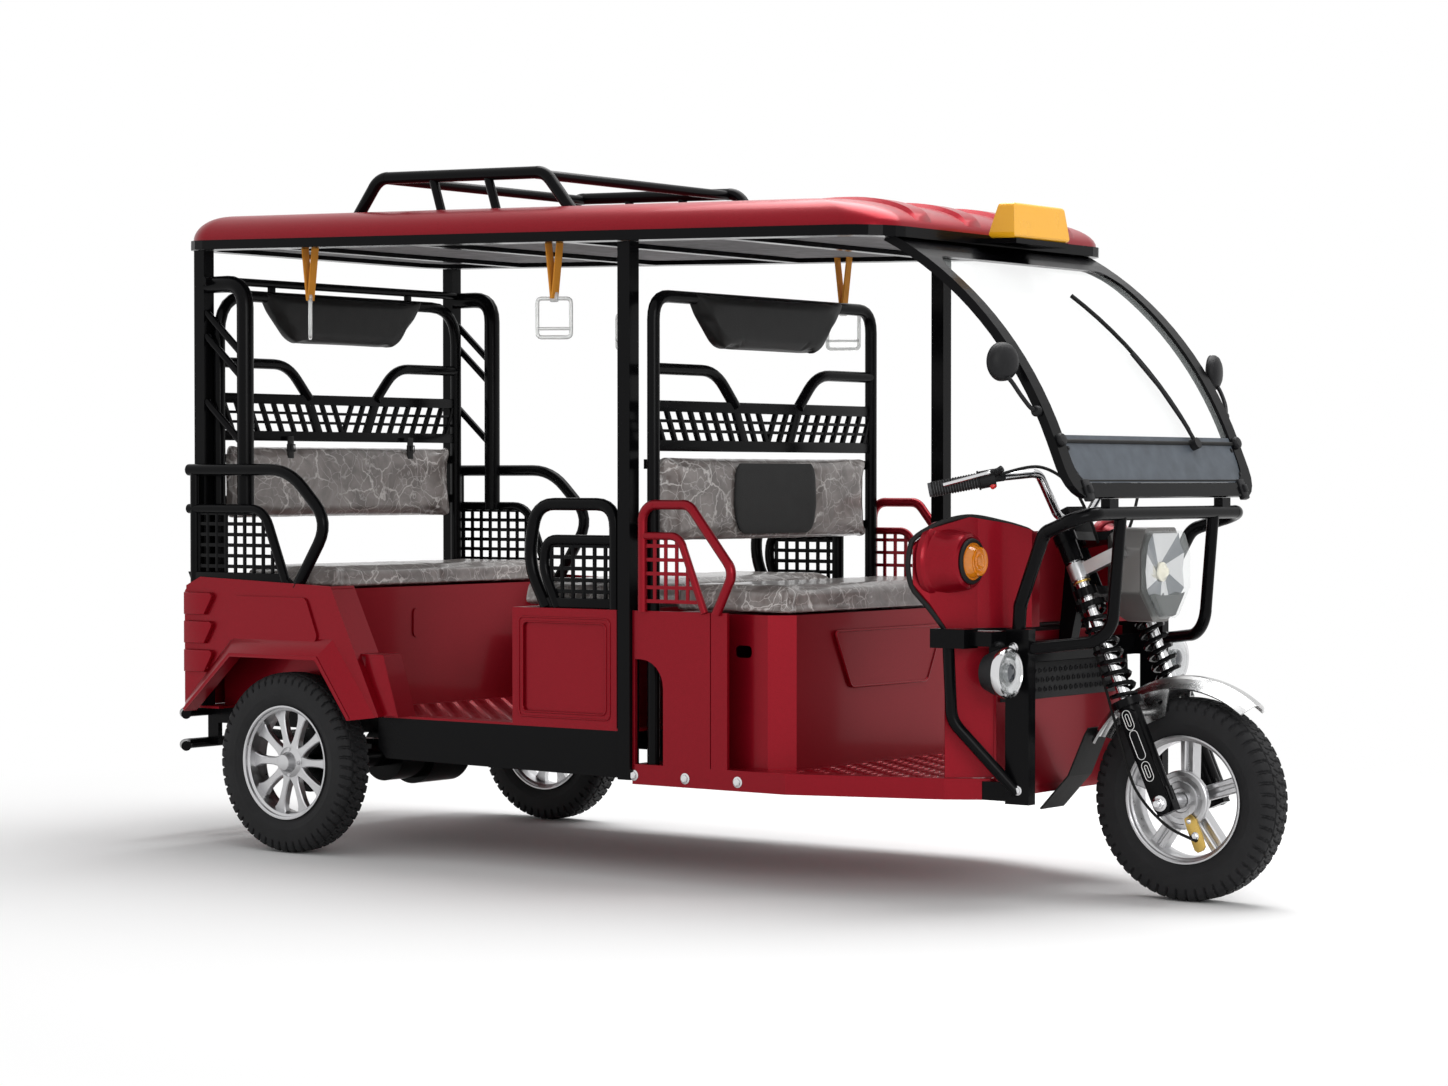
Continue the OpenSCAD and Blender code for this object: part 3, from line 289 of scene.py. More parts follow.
ownFinish = {"handlebar": finish["bright_chrome"], "fork_yokes": finish["bright_chrome"],
             "grips": finish["grey_plastic"], "headlamp": extras["lamp_grey"],
             "windscreen_panel": extras["panel_grey"], "front_fender": extras["brushed"]}
for subpart in frame["record"]["subparts"]:
    shell = nodes[subpart["node"]].data
    shell.materials.clear()
    shell.materials.append(ownFinish.get(subpart["node"], finish[subpart["material_slot"]]))

# Millimetres in the fork's frame, where a second finish starts
paintLook = {"tubeY": 120, "tubeR": 17, "yokeTop": 655, "switchY": (258, 340), "switchX": 22,
             "bracketY": 100.5}


# Faces of a node whose middle passes a test take a second material
def paintFaces(node, material, test):
    mesh = nodes[node].data
    mesh.materials.append(material)
    for face in mesh.polygons:
        if test(face.center):
            face.material_index = len(mesh.materials) - 1


def besideTubes(point):
    local = inFork(point)
    fromTube = math.hypot(local.x, abs(local.y) - paintLook["tubeY"])
    return fromTube > paintLook["tubeR"] or local.z > paintLook["yokeTop"]


def onSwitch(point):
    local = inFork(point)
    low, high = paintLook["switchY"]
    return low < abs(local.y) < high and local.x < paintLook["switchX"]


def onBracket(point):
    return abs(point.y) > paintLook["bracketY"] / 1000


paintFaces("fork_yokes", finish["black_paint"], besideTubes)
paintFaces("handlebar", finish["black_plastic"], onSwitch)
paintFaces("headlamp", finish["polished_alloy"], onBracket)
print("CAD nodes painted")


# Mesh helpers: each maker gives points and faces, and bags of them become one piece

def newBag():
    return {"points": [], "faces": []}


def addTo(bag, made, place=None):
    points, faces = made
    start = len(bag["points"])
    bag["points"].extend([(place @ Vector(p)) if place else Vector(p) for p in points])
    bag["faces"].extend([[start + i for i in face] for face in faces])


# Faces between rows of points: wrap closes each row, and loop joins the last row to the first
def bridge(rows, count, wrap=True, loop=False):
    faces = []
    for i in range(rows if loop else rows - 1):
        m = (i + 1) % rows
        for k in range(count if wrap else count - 1):
            n = (k + 1) % count
            faces.append([i * count + k, i * count + n, m * count + n, m * count + k])
    return faces


def addObject(name, data):
    made = bpy.data.objects.new(name, data)
    bpy.context.scene.collection.objects.link(made)
    return made


def makePiece(name, bag, slot, body="chassis", material=None, sharp=38, stands=None):
    mesh = bpy.data.meshes.new(name)
    mesh.from_pydata([tuple(p) for p in bag["points"]], [], bag["faces"])
    mesh.validate()
    work = bmesh.new()
    work.from_mesh(mesh)
    bmesh.ops.recalc_face_normals(work, faces=work.faces)
    work.to_mesh(mesh)
    work.free()
    mesh.shade_smooth()
    mesh.set_sharp_from_angle(angle=math.radians(sharp))
    mesh.materials.append(material or finish[slot])
    made = addObject(name, mesh)
    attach(made, body)
    if stands:
        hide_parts(stands)
    return made


def fromBmesh(work):
    work.verts.index_update()
    made = ([v.co.copy() for v in work.verts], [[v.index for v in f.verts] for f in work.faces])
    work.free()
    return made


def roundEdges(work, edges, offset, segments=2, profile=0.5):
    bmesh.ops.bevel(work, geom=edges, offset=offset, segments=segments, profile=profile, affect="EDGES")


def roundBox(size, bevel):
    work = bmesh.new()
    bmesh.ops.create_cube(work, size=1)
    bmesh.ops.scale(work, vec=size, verts=work.verts)
    roundEdges(work, list(work.edges), bevel)
    return fromBmesh(work)


# An outline in X and Y, raised along Z, with its upper edges rounded off
def roundPlate(outline, height, bevel=0.001):
    work = bmesh.new()
    face = work.faces.new([work.verts.new((x, y, 0)) for x, y in outline])
    raised = bmesh.ops.extrude_face_region(work, geom=[face])
    tops = [v for v in raised["geom"] if isinstance(v, bmesh.types.BMVert)]
    bmesh.ops.translate(work, vec=(0, 0, height), verts=tops)
    roundEdges(work, [e for e in work.edges if all(v in tops for v in e.verts)], bevel)
    return fromBmesh(work)


def circlePoints(radius, count):
    angles = [2 * math.pi * i / count for i in range(count)]
    return [(radius * math.cos(angle), radius * math.sin(angle)) for angle in angles]


# A profile of radius and height in millimetres, turned about Z
def turned(profile, steps=48):
    points = []
    for radius, height in profile:
        points.extend([(x, y, height / 1000) for x, y in circlePoints(max(radius / 1000, 1e-5), steps)])
    return points, bridge(len(profile), steps)


# A matrix that sets Z along a direction at a point
def facing(point, direction, roll=0.0):
    turn = Vector(direction).normalized().to_track_quat("Z", "Y").to_matrix().to_4x4()
    return Matrix.Translation(point) @ turn @ Matrix.Rotation(roll, 4, "Z")


# A round tube along a line of points
def tube(line, radius, sides=10, closed=False):
    line = [Vector(p) for p in line]
    count = len(line)
    points = []
    side = None
    for i, point in enumerate(line):
        before = line[i - 1] if i or closed else point
        after = line[(i + 1) % count] if i + 1 < count or closed else point
        heading = (after - before).normalized()
        if side is None:
            side = heading.orthogonal().normalized()
        side = (side - heading * side.dot(heading)).normalized()
        other = heading.cross(side)
        points.extend([point + radius * (x * side + y * other) for x, y in circlePoints(1, sides)])
    faces = bridge(count, sides, loop=closed)
    if not closed:
        faces.append(list(range(sides))[::-1])
        faces.append([(count - 1) * sides + k for k in range(sides)])
    return points, faces


# A smooth line through a few points
def smoothLine(points, steps=8):
    points = [Vector(p) for p in points]
    last = len(points) - 1
    line = []
    for i in range(last):
        a, b, c, d = [points[min(max(i + k, 0), last)] for k in (-1, 0, 1, 2)]
        for step in range(steps):
            t = step / steps
            line.append(0.5 * (2 * b + (c - a) * t + (2 * a - 5 * b + 4 * c - d) * t * t
                               + (3 * b - a - 3 * c + d) * t * t * t))
    line.append(points[-1])
    return line


# A line of straight runs with its corners bent round
def bentLine(points, reach, steps=6, closed=False):
    points = [Vector(p) for p in points]
    line = [] if closed else [points[0]]
    corners = points[-1:] + points + points[:1] if closed else points
    for before, corner, after in zip(corners, corners[1:], corners[2:]):
        back, ahead = before - corner, after - corner
        cut = min(reach, back.length * 0.48, ahead.length * 0.48)
        start, end = corner + back.normalized() * cut, corner + ahead.normalized() * cut
        for i in range(steps + 1):
            t = i / steps
            line.append((1 - t) ** 2 * start + 2 * t * (1 - t) * corner + t * t * end)
    if not closed:
        line.append(points[-1])
    return line


# Hex bolt with its washer, standing on a face
def bolt(size):
    bag = newBag()
    washer = [(0, 0), (1.25, 0), (1.25, 0.12), (1.15, 0.18), (0, 0.18)]
    head = [(0, 0.18), (0.92, 0.18), (0.92, 0.6), (0.76, 0.72), (0, 0.74)]
    for profile, sides in ((washer, 20), (head, 6)):
        addTo(bag, turned([(r * size, h * size) for r, h in profile], sides))
    return bag["points"], bag["faces"]


# Tyres: a smooth carcass with a block tread pressed into it

def tyre(name, body):
    look = {"blocks": 54, "depth": 0.0056, "around": 648, "bead": 0.0365}
    low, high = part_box(name)
    centre = (low + high) / 2
    outer, half = (high.z - low.z) / 2, (high.y - low.y) / 2
    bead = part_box(name.replace("tyre", "rim"))[1].z - centre.z - 0.006
    # Radius and half width, from the bead to the middle of the tread
    wall = [(bead, look["bead"] - 0.003), (bead + 0.008, look["bead"] + 0.001),
            (bead + 0.026, half - 0.003),
            (bead + 0.046, half), (outer - 0.020, half - 0.0012), (outer - 0.0085, half - 0.006),
            (outer - 0.0024, half - 0.014), (outer - 0.0003, half - 0.027), (outer, 0.0)]
    curve = smoothLine([(r, y, 0) for r, y in wall], 5)
    curve = curve + [Vector((p.x, -p.y, 0)) for p in reversed(curve[:-1])]
    radius = np.array([p.x for p in curve])
    across = np.array([p.y for p in curve])
    run = np.gradient(np.stack([radius, across], 1), axis=0)
    run /= np.linalg.norm(run, axis=1)[:, None]
    normal = np.stack([-run[:, 1], run[:, 0]], 1)
    normal *= np.sign(normal[len(curve) // 2, 0])
    theta = np.linspace(0, 2 * math.pi, look["around"], endpoint=False)
    phase, y = np.meshgrid(theta / (2 * math.pi) * look["blocks"], across / half, indexing="ij")
    r = np.meshgrid(theta, radius, indexing="ij")[1]

    def cut(value, width):
        return np.clip((width - np.abs(value)) / (width * 0.35), 0, 1)

    def saw(value):
        return np.abs((value % 1) - 0.5)

    side, wide = np.sign(y), np.abs(y)
    rings = np.maximum(cut(wide - 0.20 - 0.10 * (saw(phase) - 0.25), 0.035), cut(wide - 0.56, 0.03))
    inner = cut(0.5 - saw(phase + y * 0.9 + 0.25), 0.07) * (wide < 0.2)
    middle = cut(0.5 - saw(phase + side * wide * 1.1), 0.10) * (wide > 0.2) * (wide < 0.57)
    shoulder = cut(0.5 - saw(phase + 0.5 + side * wide * 0.5), 0.15) * (wide > 0.55)
    press = np.maximum.reduce([rings, inner, middle, shoulder]) * look["depth"]
    press *= np.clip((r - (outer - 0.030)) / 0.006, 0, 1)
    push = 0.0011 * np.exp(-((r - (bead + 0.034)) / 0.0016) ** 2) - press
    reach = r + push * normal[None, :, 0]
    width = across[None, :] + push * normal[None, :, 1]
    angle = theta[:, None]
    spots = [centre.x + reach * np.cos(angle), centre.y + width, centre.z + reach * np.sin(angle)]
    bag = newBag()
    bag["points"] = [Vector(p) for p in np.stack(spots, 2).reshape(-1, 3)]
    bag["faces"] = bridge(look["around"], len(curve), wrap=False, loop=True)
    makePiece(name + "_tread", bag, "tyre_rubber", body, sharp=34, stands=name)


wheels = {"front_tyre": "front_wheel", "right_tyre": "rear_wheel_right", "left_tyre": "rear_wheel_left"}
for wheel, body in wheels.items():
    tyre(wheel, body)
print("tyres made")


# Seats: stuffed pieces blown up by a short cloth run, then pleated at their corners

cushionLook = {"cell": 0.009, "pressure": 3.2, "frames": 18, "cap": 0.009, "stiff": 18, "shear": 8,
               "bend": 1.5}


def meshPoints(made, key="co"):
    flat = np.zeros(len(made.data.vertices) * 3)
    made.data.vertices.foreach_get(key, flat)
    return flat.reshape(-1, 3)


def setPoints(made, points):
    made.data.vertices.foreach_set("co", points.reshape(-1))
    made.data.update()


def bakeModifiers(made):
    graph = bpy.context.evaluated_depsgraph_get()
    fresh = bpy.data.meshes.new_from_object(made.evaluated_get(graph))
    made.modifiers.clear()
    made.data = fresh


def puffed(name, low, high, edge, material, pinned="z"):
    work = bmesh.new()
    bmesh.ops.create_cube(work, size=1)
    bmesh.ops.scale(work, vec=high - low - Vector((0.012, 0.012, 0.010)), verts=work.verts)
    roundEdges(work, list(work.edges), edge, 3, 0.6)
    bmesh.ops.translate(work, vec=(low + high) / 2, verts=work.verts)
    mesh = bpy.data.meshes.new(name)
    work.to_mesh(mesh)
    work.free()
    made = addObject(name, mesh)
    remesh = made.modifiers.new("cells", "REMESH")
    remesh.mode = "VOXEL"
    remesh.voxel_size = cushionLook["cell"]
    bakeModifiers(made)
    axis = "xyz".index(pinned)
    inflate(made, axis, low[axis] + 0.012)
    made.data.materials.clear()
    made.data.materials.append(material)
    return made


# Cloth under pressure, held below one level, with each point's travel capped
def inflate(made, axis, level):
    before = meshPoints(made)
    group = made.vertex_groups.new(name="held")
    group.add([int(i) for i in np.nonzero(before[:, axis] < level)[0]], 1.0, "REPLACE")
    cloth = made.modifiers.new("cloth", "CLOTH")
    settings = {"quality": 5, "mass": 0.3, "tension_stiffness": cushionLook["stiff"],
                "compression_stiffness": cushionLook["stiff"], "shear_stiffness": cushionLook["shear"],
                "bending_stiffness": cushionLook["bend"], "use_pressure": True,
                "uniform_pressure_force": cushionLook["pressure"], "vertex_group_mass": "held"}
    for key, value in settings.items():
        setattr(cloth.settings, key, value)
    cloth.settings.effector_weights.gravity = 0
    cloth.point_cache.frame_start = 1
    cloth.point_cache.frame_end = cushionLook["frames"]
    scene = bpy.context.scene
    for step in range(1, cushionLook["frames"] + 1):
        scene.frame_set(step)
    bakeModifiers(made)
    scene.frame_set(1)
    moved = meshPoints(made) - before
    length = np.linalg.norm(moved, axis=1)[:, None]
    moved *= np.minimum(1, cushionLook["cap"] / np.maximum(length, 1e-9))
    setPoints(made, before + moved)


# Pleats and creases where the cover is drawn round an upright corner
def pleat(made, low, high, depth, reach, seed):
    points, normals = meshPoints(made), meshPoints(made, "normal")
    middle = (np.array(low) + np.array(high)) / 2
    halfSize = (np.array(high) - np.array(low)) / 2
    local = np.abs(points - middle)
    toCorner = np.hypot(halfSize[0] - local[:, 0], halfSize[1] - local[:, 1])
    near = np.clip(1 - toCorner / reach, 0, 1)
    turn = np.arctan2(local[:, 1] - halfSize[1] + reach, local[:, 0] - halfSize[0] + reach)
    wave = np.array([noise.noise(Vector((p[0] * 9, p[1] * 9, p[2] * 5 + seed))) for p in points])
    ruck = np.array([noise.noise(Vector((p[0] * 28, p[1] * 28, p[2] * 12 + seed))) for p in points])
    fold = np.sin(turn * 26 + wave * 3.0 + points[:, 2] * 60)
    setPoints(made, points + normals * (depth * near * fold + 0.0012 * ruck)[:, None])


# A pressed line across a bench, down its top and front
def seam(made, low, high):
    line = {"y": -0.03, "width": 0.006, "depth": 0.006}
    points = meshPoints(made)
    groove = line["depth"] * np.exp(-((points[:, 1] - line["y"]) / line["width"]) ** 2)
    points[:, 2] -= groove * (points[:, 2] > low.z + 0.02)
    points[:, 0] -= groove * (points[:, 0] > high.x - 0.02)
    setPoints(made, points)


# A pad's half width follows its shape from the top down, with round corners
def trimToShape(made, low, high, shape):
    points = meshPoints(made)
    tall = (high.z - low.z) * 1000
    drop = np.clip((high.z - points[:, 2]) * 1000, 0, tall)
    half = np.interp(drop, shape["drop"], shape["half"])
    toEnd = np.minimum(np.minimum(drop, tall - drop), shape["corner"])
    half -= shape["corner"] - np.sqrt(shape["corner"] ** 2 - (shape["corner"] - toEnd) ** 2)
    points[:, 1] *= half / ((high.y - low.y) * 500)
    setPoints(made, points)


def closeCushion(made, stands):
    level = made.modifiers.new("finer", "SUBSURF")
    level.levels = 1
    level.render_levels = 1
    bakeModifiers(made)
    made.data.shade_smooth()
    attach(made, "chassis")
    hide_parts(stands)


benches = {
    "rear_bench_seat": {"low": (-270, -468, 700.5), "high": (86, 468, 757), "seam": True},
    "mid_bench_seat": {"low": (726, -463, 670.5), "high": (1070, 463, 738), "seam": False},
    "driver_bench_seat": {"low": (1201, -445, 665.5), "high": (1564, 445, 733), "seam": False},
}
for seed, (name, look) in enumerate(benches.items()):
    low, high = at(*look["low"]), at(*look["high"])
    cushion = puffed(name, low, high, 0.013, finish["seat_vinyl"])
    if look["seam"]:
        seam(cushion, low, high)
    pleat(cushion, low, high, 0.0034, 0.085, seed)
    closeCushion(cushion, "seat_cushions")

backs = {
    "front_back_cushion": {"low": (1149, -448, 831), "high": (1192, 448, 1056)},
    "rear_back_cushion": {"low": (-353, -459, 880), "high": (-310, 459, 1097)},
}
for seed, (name, look) in enumerate(backs.items()):
    low, high = at(*look["low"]), at(*look["high"])
    cushion = puffed(name, low, high, 0.016, finish["seat_vinyl"], "x")
    pleat(cushion, low, high, 0.002, 0.05, seed + len(benches) + 2)
    closeCushion(cushion, "backrest_cushions")

# Heights down from the top and half widths there, with the corners' radius
headrestShape = {"drop": (0, 60, 125, 150), "half": (340, 300, 236, 196), "corner": 14}
pads = {
    "driver_back_pad": {"low": (1193, -190, 850), "high": (1211, 190, 1042),
                        "shape": {"drop": (0, 112, 192), "half": (182, 190, 172), "corner": 40}},
    "front_headrest": {"low": (1148, -340, 1318), "high": (1196, 340, 1468), "shape": headrestShape},
    "rear_headrest": {"low": (-354, -340, 1370), "high": (-306, 340, 1520), "shape": headrestShape},
}
for name, look in pads.items():
    low, high = at(*look["low"]), at(*look["high"])
    cushion = puffed(name, low, high, 0.007, finish["black_vinyl"], "x")
    trimToShape(cushion, low, high, look["shape"])
    closeCushion(cushion, "back_pads")
print("seats made")


# Tube and sheet work of the cabin, in millimetres from the rear axle

def pipe(bag, points, radius, bend=0.0):
    line = [at(*p) for p in points]
    addTo(bag, tube(bentLine(line, bend / 1000) if bend else line, radius / 1000, 16))


# A plate across the vehicle: outline in Y and Z
def crossPlate(bag, x0, x1, outline, bevel=1.5):
    turn = Matrix(((0, 0, 1, 0), (1, 0, 0, 0), (0, 1, 0, 0), (0, 0, 0, 1)))
    flat = [(y / 1000, z / 1000) for y, z in outline]
    addTo(bag, roundPlate(flat, (x1 - x0) / 1000, bevel / 1000), Matrix.Translation(at(x0, 0, 0)) @ turn)


# A plate along the vehicle: outline in X and Z
def sidePlate(bag, y0, y1, outline, bevel=1.5):
    turn = Matrix(((1, 0, 0, 0), (0, 0, -1, 0), (0, 1, 0, 0), (0, 0, 0, 1)))
    flat = [(x / 1000, z / 1000) for x, z in outline]
    addTo(bag, roundPlate(flat, (y1 - y0) / 1000, bevel / 1000), Matrix.Translation(at(0, y1, 0)) @ turn)


def boxPoints(x0, z0, x1, z1):
    return [(x0, z0), (x1, z0), (x1, z1), (x0, z1)]


# Where a line of one fixed coordinate crosses a convex outline
def spanAt(outline, axis, value):
    other = 1 - axis
    found = []
    for a, b in zip(outline, outline[1:] + outline[:1]):
        if (a[axis] - value) * (b[axis] - value) <= 0 and a[axis] != b[axis]:
            share = (value - a[axis]) / (b[axis] - a[axis])
            found.append(a[other] + share * (b[other] - a[other]))
    return (min(found), max(found)) if len(found) > 1 else (0, 0)


# A pressed mesh: posts and rows of flat bar inside an outline
def meshPanel(bag, y, outline):
    look = {"step": 35, "row": 0.82, "half": 5, "shortest": 10}
    xs, zs = [p[0] for p in outline], [p[1] for p in outline]
    for x in np.arange(min(xs) + look["step"] * 0.6, max(xs), look["step"]):
        low, high = spanAt(outline, 0, x)
        if high - low > look["shortest"]:
            sidePlate(bag, y - 2.5, y + 2.5, boxPoints(x - look["half"], low, x + look["half"], high), 0.8)
    for z in np.arange(min(zs) + look["step"] * 0.5, max(zs), look["step"] * look["row"]):
        low, high = spanAt(outline, 1, z)
        if high - low > look["shortest"]:
            sidePlate(bag, y - 2, y + 2, boxPoints(low, z - look["half"], high, z + look["half"]), 0.8)


# Backrest: hoop, shoulder bars bent down to a leaning-bar grille, and rails behind the cushion
def backFrame(name, look, stands):
    bar = {"first": 38, "pitch": 48, "lean": 34, "thin": 7, "thick": 15, "frame": 26}
    bag = newBag()
    x, half, shoulder = look["x"], look["half"], look["shoulder"]
    low, high = look["grille"]
    lowBar, highBar = low + bar["frame"], high - bar["frame"]
    top, foot = look["top"], look["foot"]
    pipe(bag, [(x, -half, foot), (x, -half, top), (x, half, top), (x, half, foot)], 16, look["corner"])
    for side in (-1, 1):
        bent = [(x, side * half, shoulder), (x, side * 222, shoulder), (x, side * 138, high - 10)]
        pipe(bag, bent, 14.5, 55)
        for i in range(int((half - bar["lean"]) // bar["pitch"]) + 1):
            y = side * (bar["first"] + bar["pitch"] * i)
            y0 = y - side * bar["lean"]
            w = bar["thick"] if i == 2 else bar["thin"]
            leaning = [(y - w, highBar), (y0 - w, lowBar), (y0 + w, lowBar), (y + w, highBar)]
            crossPlate(bag, x - 5, x + 5, leaning)
    for z in (low, high - 28):
        crossPlate(bag, x - 6, x + 6, boxPoints(-half, z, half, z + 28), 3)
    for share in (1 / 3, 2 / 3):
        z = lowBar + (highBar - lowBar) * share
        crossPlate(bag, x - 4, x + 4, boxPoints(-half, z - 4, half, z + 4), 1)
    for z in look["rails"]:
        crossPlate(bag, x - 34, x - 24, boxPoints(14 - half, z, half - 14, z + 24), 2)
        for lug in (9 - half, half - 9):
            crossPlate(bag, x - 34, x - 2, boxPoints(lug - 5, z, lug + 5, z + 24), 1)
    if look["tie"]:
        pipe(bag, [(x - 4, -485, look["tie"]), (x - 4, 485, look["tie"])], 11)
        for post in (-280, 280):
            crossPlate(bag, x - 10, x + 2, boxPoints(post - 10, top, post + 10, look["tie"]), 1)
    makePiece(name, bag, "black_paint", stands=stands)


rearBack = {"x": -329.7, "half": 486, "foot": 706, "top": 1500, "corner": 110, "shoulder": 1315,
            "grille": (1101, 1232), "rails": (925, 1040), "tie": 1538}
frontBack = {"x": 1172, "half": 474.7, "foot": 290, "top": 1448, "corner": 60, "shoulder": 1268,
             "grille": (1064, 1190), "rails": (860, 1020), "tie": None}


def rearGuards():
    look = {"y": 544.3, "foot": 706.3, "grabY": 509, "braces": (1440, 1376, 1197)}
    bag = newBag()
    foot = look["foot"]
    for side in (-1, 1):
        y, grab = side * look["y"], side * look["grabY"]
        pipe(bag, [(-389, y, 1020), (-9, y, 1020), (137, y, 880), (20, y, foot)], 16, 70)
        pipe(bag, [(-389, y, 914), (-103, y, 914), (-16, y, foot)], 13, 50)
        pipe(bag, [(-366, y, foot), (-366, y, 1020)], 13)
        meshPanel(bag, y, [(-372, 741), (-50, 741), (-108, 912), (-372, 912)])
        sidePlate(bag, y - 9, y + 9, [(-386, foot + 36), (-368, foot), (16, foot), (-30, foot + 36)], 3)
        # Grab tube bent down from the rear pillar, with braces back to it
        pipe(bag, [(-346, grab, 1525), (-207, grab, 1525), (-207, grab, 905)], 23, 120)
        for z in look["braces"]:
            pipe(bag, [(-348, grab + side * 7, z + 10), (-207, grab + side * 7, z - 110)], 10)
        pipe(bag, [(-330, grab, 1534), (-330, grab + side * 40, 1534)], 14)
    makePiece("rear_guard_tubes", bag, "black_paint", stands="rear_guards")


def midGuards():
    look = {"y": 483, "foot": 670.3, "post": 1058}
    bag = newBag()
    foot, post = look["foot"], look["post"]
    for side in (-1, 1):
        y = side * look["y"]
        pipe(bag, [(post, y, foot), (post, y, 932), (800, y, 932), (775, y, 780), (836, y, foot)], 16, 60)
        pipe(bag, [(post, y, 842), (834, y, 842), (824, y, 770), (872, y, foot)], 13, 34)
        meshPanel(bag, y, [(866, 695), (post, 695), (post, 842), (838, 842), (830, 770)])
        sidePlate(bag, y - 8, y + 8, boxPoints(836, foot, post, foot + 26), 3)
    makePiece("mid_guard_tubes", bag, "black_paint", stands="mid_guards")


backFrame("rear_back_tubes", rearBack, "rear_backrest_frame")
backFrame("front_back_tubes", frontBack, "front_backrest_frame")
rearGuards()
midGuards()
print("tube work made")


# Roof shell: its rim rolls over in a quarter round to a flat crown, with pressed ribs at the front

roofLook = {"front": (1889, 1563), "fall": 1.47, "long": 2340, "half": 540, "rim": 25, "crown": 70,
            "edge": 8, "roll": 84, "frontRoll": 210, "corner": 104, "rings": 13, "cornerSteps": 10}
ribLook = {"places": (-330, -110, 110, 330), "half": 42, "flat": 30, "rise": 9, "ease": 2.5}
roofPlace = Matrix.Translation(at(roofLook["front"][0], 0, roofLook["front"][1]))
roofFrame = roofPlace @ Matrix.Rotation(math.radians(roofLook["fall"]), 4, "Y")


def onRoof(x, y, z):
    return roofFrame @ Vector((x / 1000, y / 1000, z / 1000))


# Inset of the rolled edge and its height, by the angle round it
def roofRoll(turn, roll):
    inset = roofLook["edge"] + roll * (1 - math.cos(turn))
    return inset, roofLook["rim"] + roofLook["crown"] * math.sin(turn)


def roofShell():
    rings, steps = roofLook["rings"], roofLook["cornerSteps"]
    points = []
    for k in range(rings):
        turn = math.pi / 2 * k / (rings - 1)
        inset, z = roofRoll(turn, roofLook["roll"])
        r = roofLook["corner"] - 0.4 * inset
        front = -roofRoll(turn, roofLook["frontRoll"])[0] - r
        back = inset - roofLook["long"] + r
        half = roofLook["half"] - inset - r
        for quarter, (x, y) in enumerate(((front, half), (back, half), (back, -half), (front, -half))):
            for i in range(steps + 1):
                angle = math.pi / 2 * (quarter + i / steps)
                points.append(onRoof(x + r * math.cos(angle), y + r * math.sin(angle), z))
    count = len(points) // rings
    caps = [[len(points) - count + k for k in range(count)], list(range(count))[::-1]]
    bag = newBag()
    addTo(bag, (points, bridge(rings, count) + caps))
    makePiece("roof_shell", bag, "red_paint", sharp=50, stands="roof_panel")


def roofRibs():
    half, flat = ribLook["half"], ribLook["flat"]
    rolls = [roofRoll(turn, roofLook["frontRoll"]) for turn in np.radians(np.linspace(14, 90, 12))]
    spine = [(-inset, z) for inset, z in rolls]
    spine += [(spine[-1][0] - d, spine[-1][1]) for d in (40, 80, 120, 150)]
    last = len(spine) - 1
    bag = newBag()
    for y in ribLook["places"]:
        section = []
        for i, (x, z) in enumerate(spine):
            rise = ribLook["rise"] * min(1, i / ribLook["ease"], (last - i) / ribLook["ease"])
            for dy, up in ((-half, -2), (-flat, rise), (flat, rise), (half, -2)):
                section.append(onRoof(x + up * 0.4, y + dy, z + up))
        addTo(bag, (section, bridge(len(spine), 4, wrap=False)))
    makePiece("roof_ribs", bag, "red_paint", sharp=30)


# Rear quarters: three pressed ribs at the corner, a flare round the wheel arch, and the well's closed side
def quarterForms():
    rib = {"low": 470, "pitch": 78, "tall": 61}
    arch = ((-352, 364), (-178, 518), (137, 518), (252, 364))
    skirt = ((-385, 392), (-203, 572), (164, 572), (316, 372))
    ribs, flares, skins = newBag(), newBag(), newBag()
    for side in (-1, 1):
        y0, y1 = sorted((side * 559, side * 573))
        for i in range(3):
            low = rib["low"] + i * rib["pitch"]
            high = low + rib["tall"]
            outline = [(-384, low), (-306, low), (-278, low + 44), (-276, low + 54), (-284, high),
                       (-384, high)]
            sidePlate(ribs, y0, y1, outline, 5)
        y0, y1 = sorted((side * 533, side * 540))
        sidePlate(skins, y0, y1, [(262, 376), (375, 376), (324.3, 535), (262, 535)], 2)
        # Stations from the skirt's line to the arch's: share of the way, and Y
        points = []
        for (ax, az), (bx, bz) in zip(arch, skirt):
            for share, y in ((0, 559.5), (0.25, 572), (0.88, 599), (1, 601)):
                points.append(at(bx + (ax - bx) * share, side * y, bz + (az - bz) * share))
        addTo(flares, (points, bridge(len(arch), 4, wrap=False)))
    makePiece("quarter_ribs", ribs, "red_paint", sharp=40)
    makePiece("arch_flares", flares, "red_paint", sharp=30)
    makePiece("well_side_skins", skins, "red_paint")


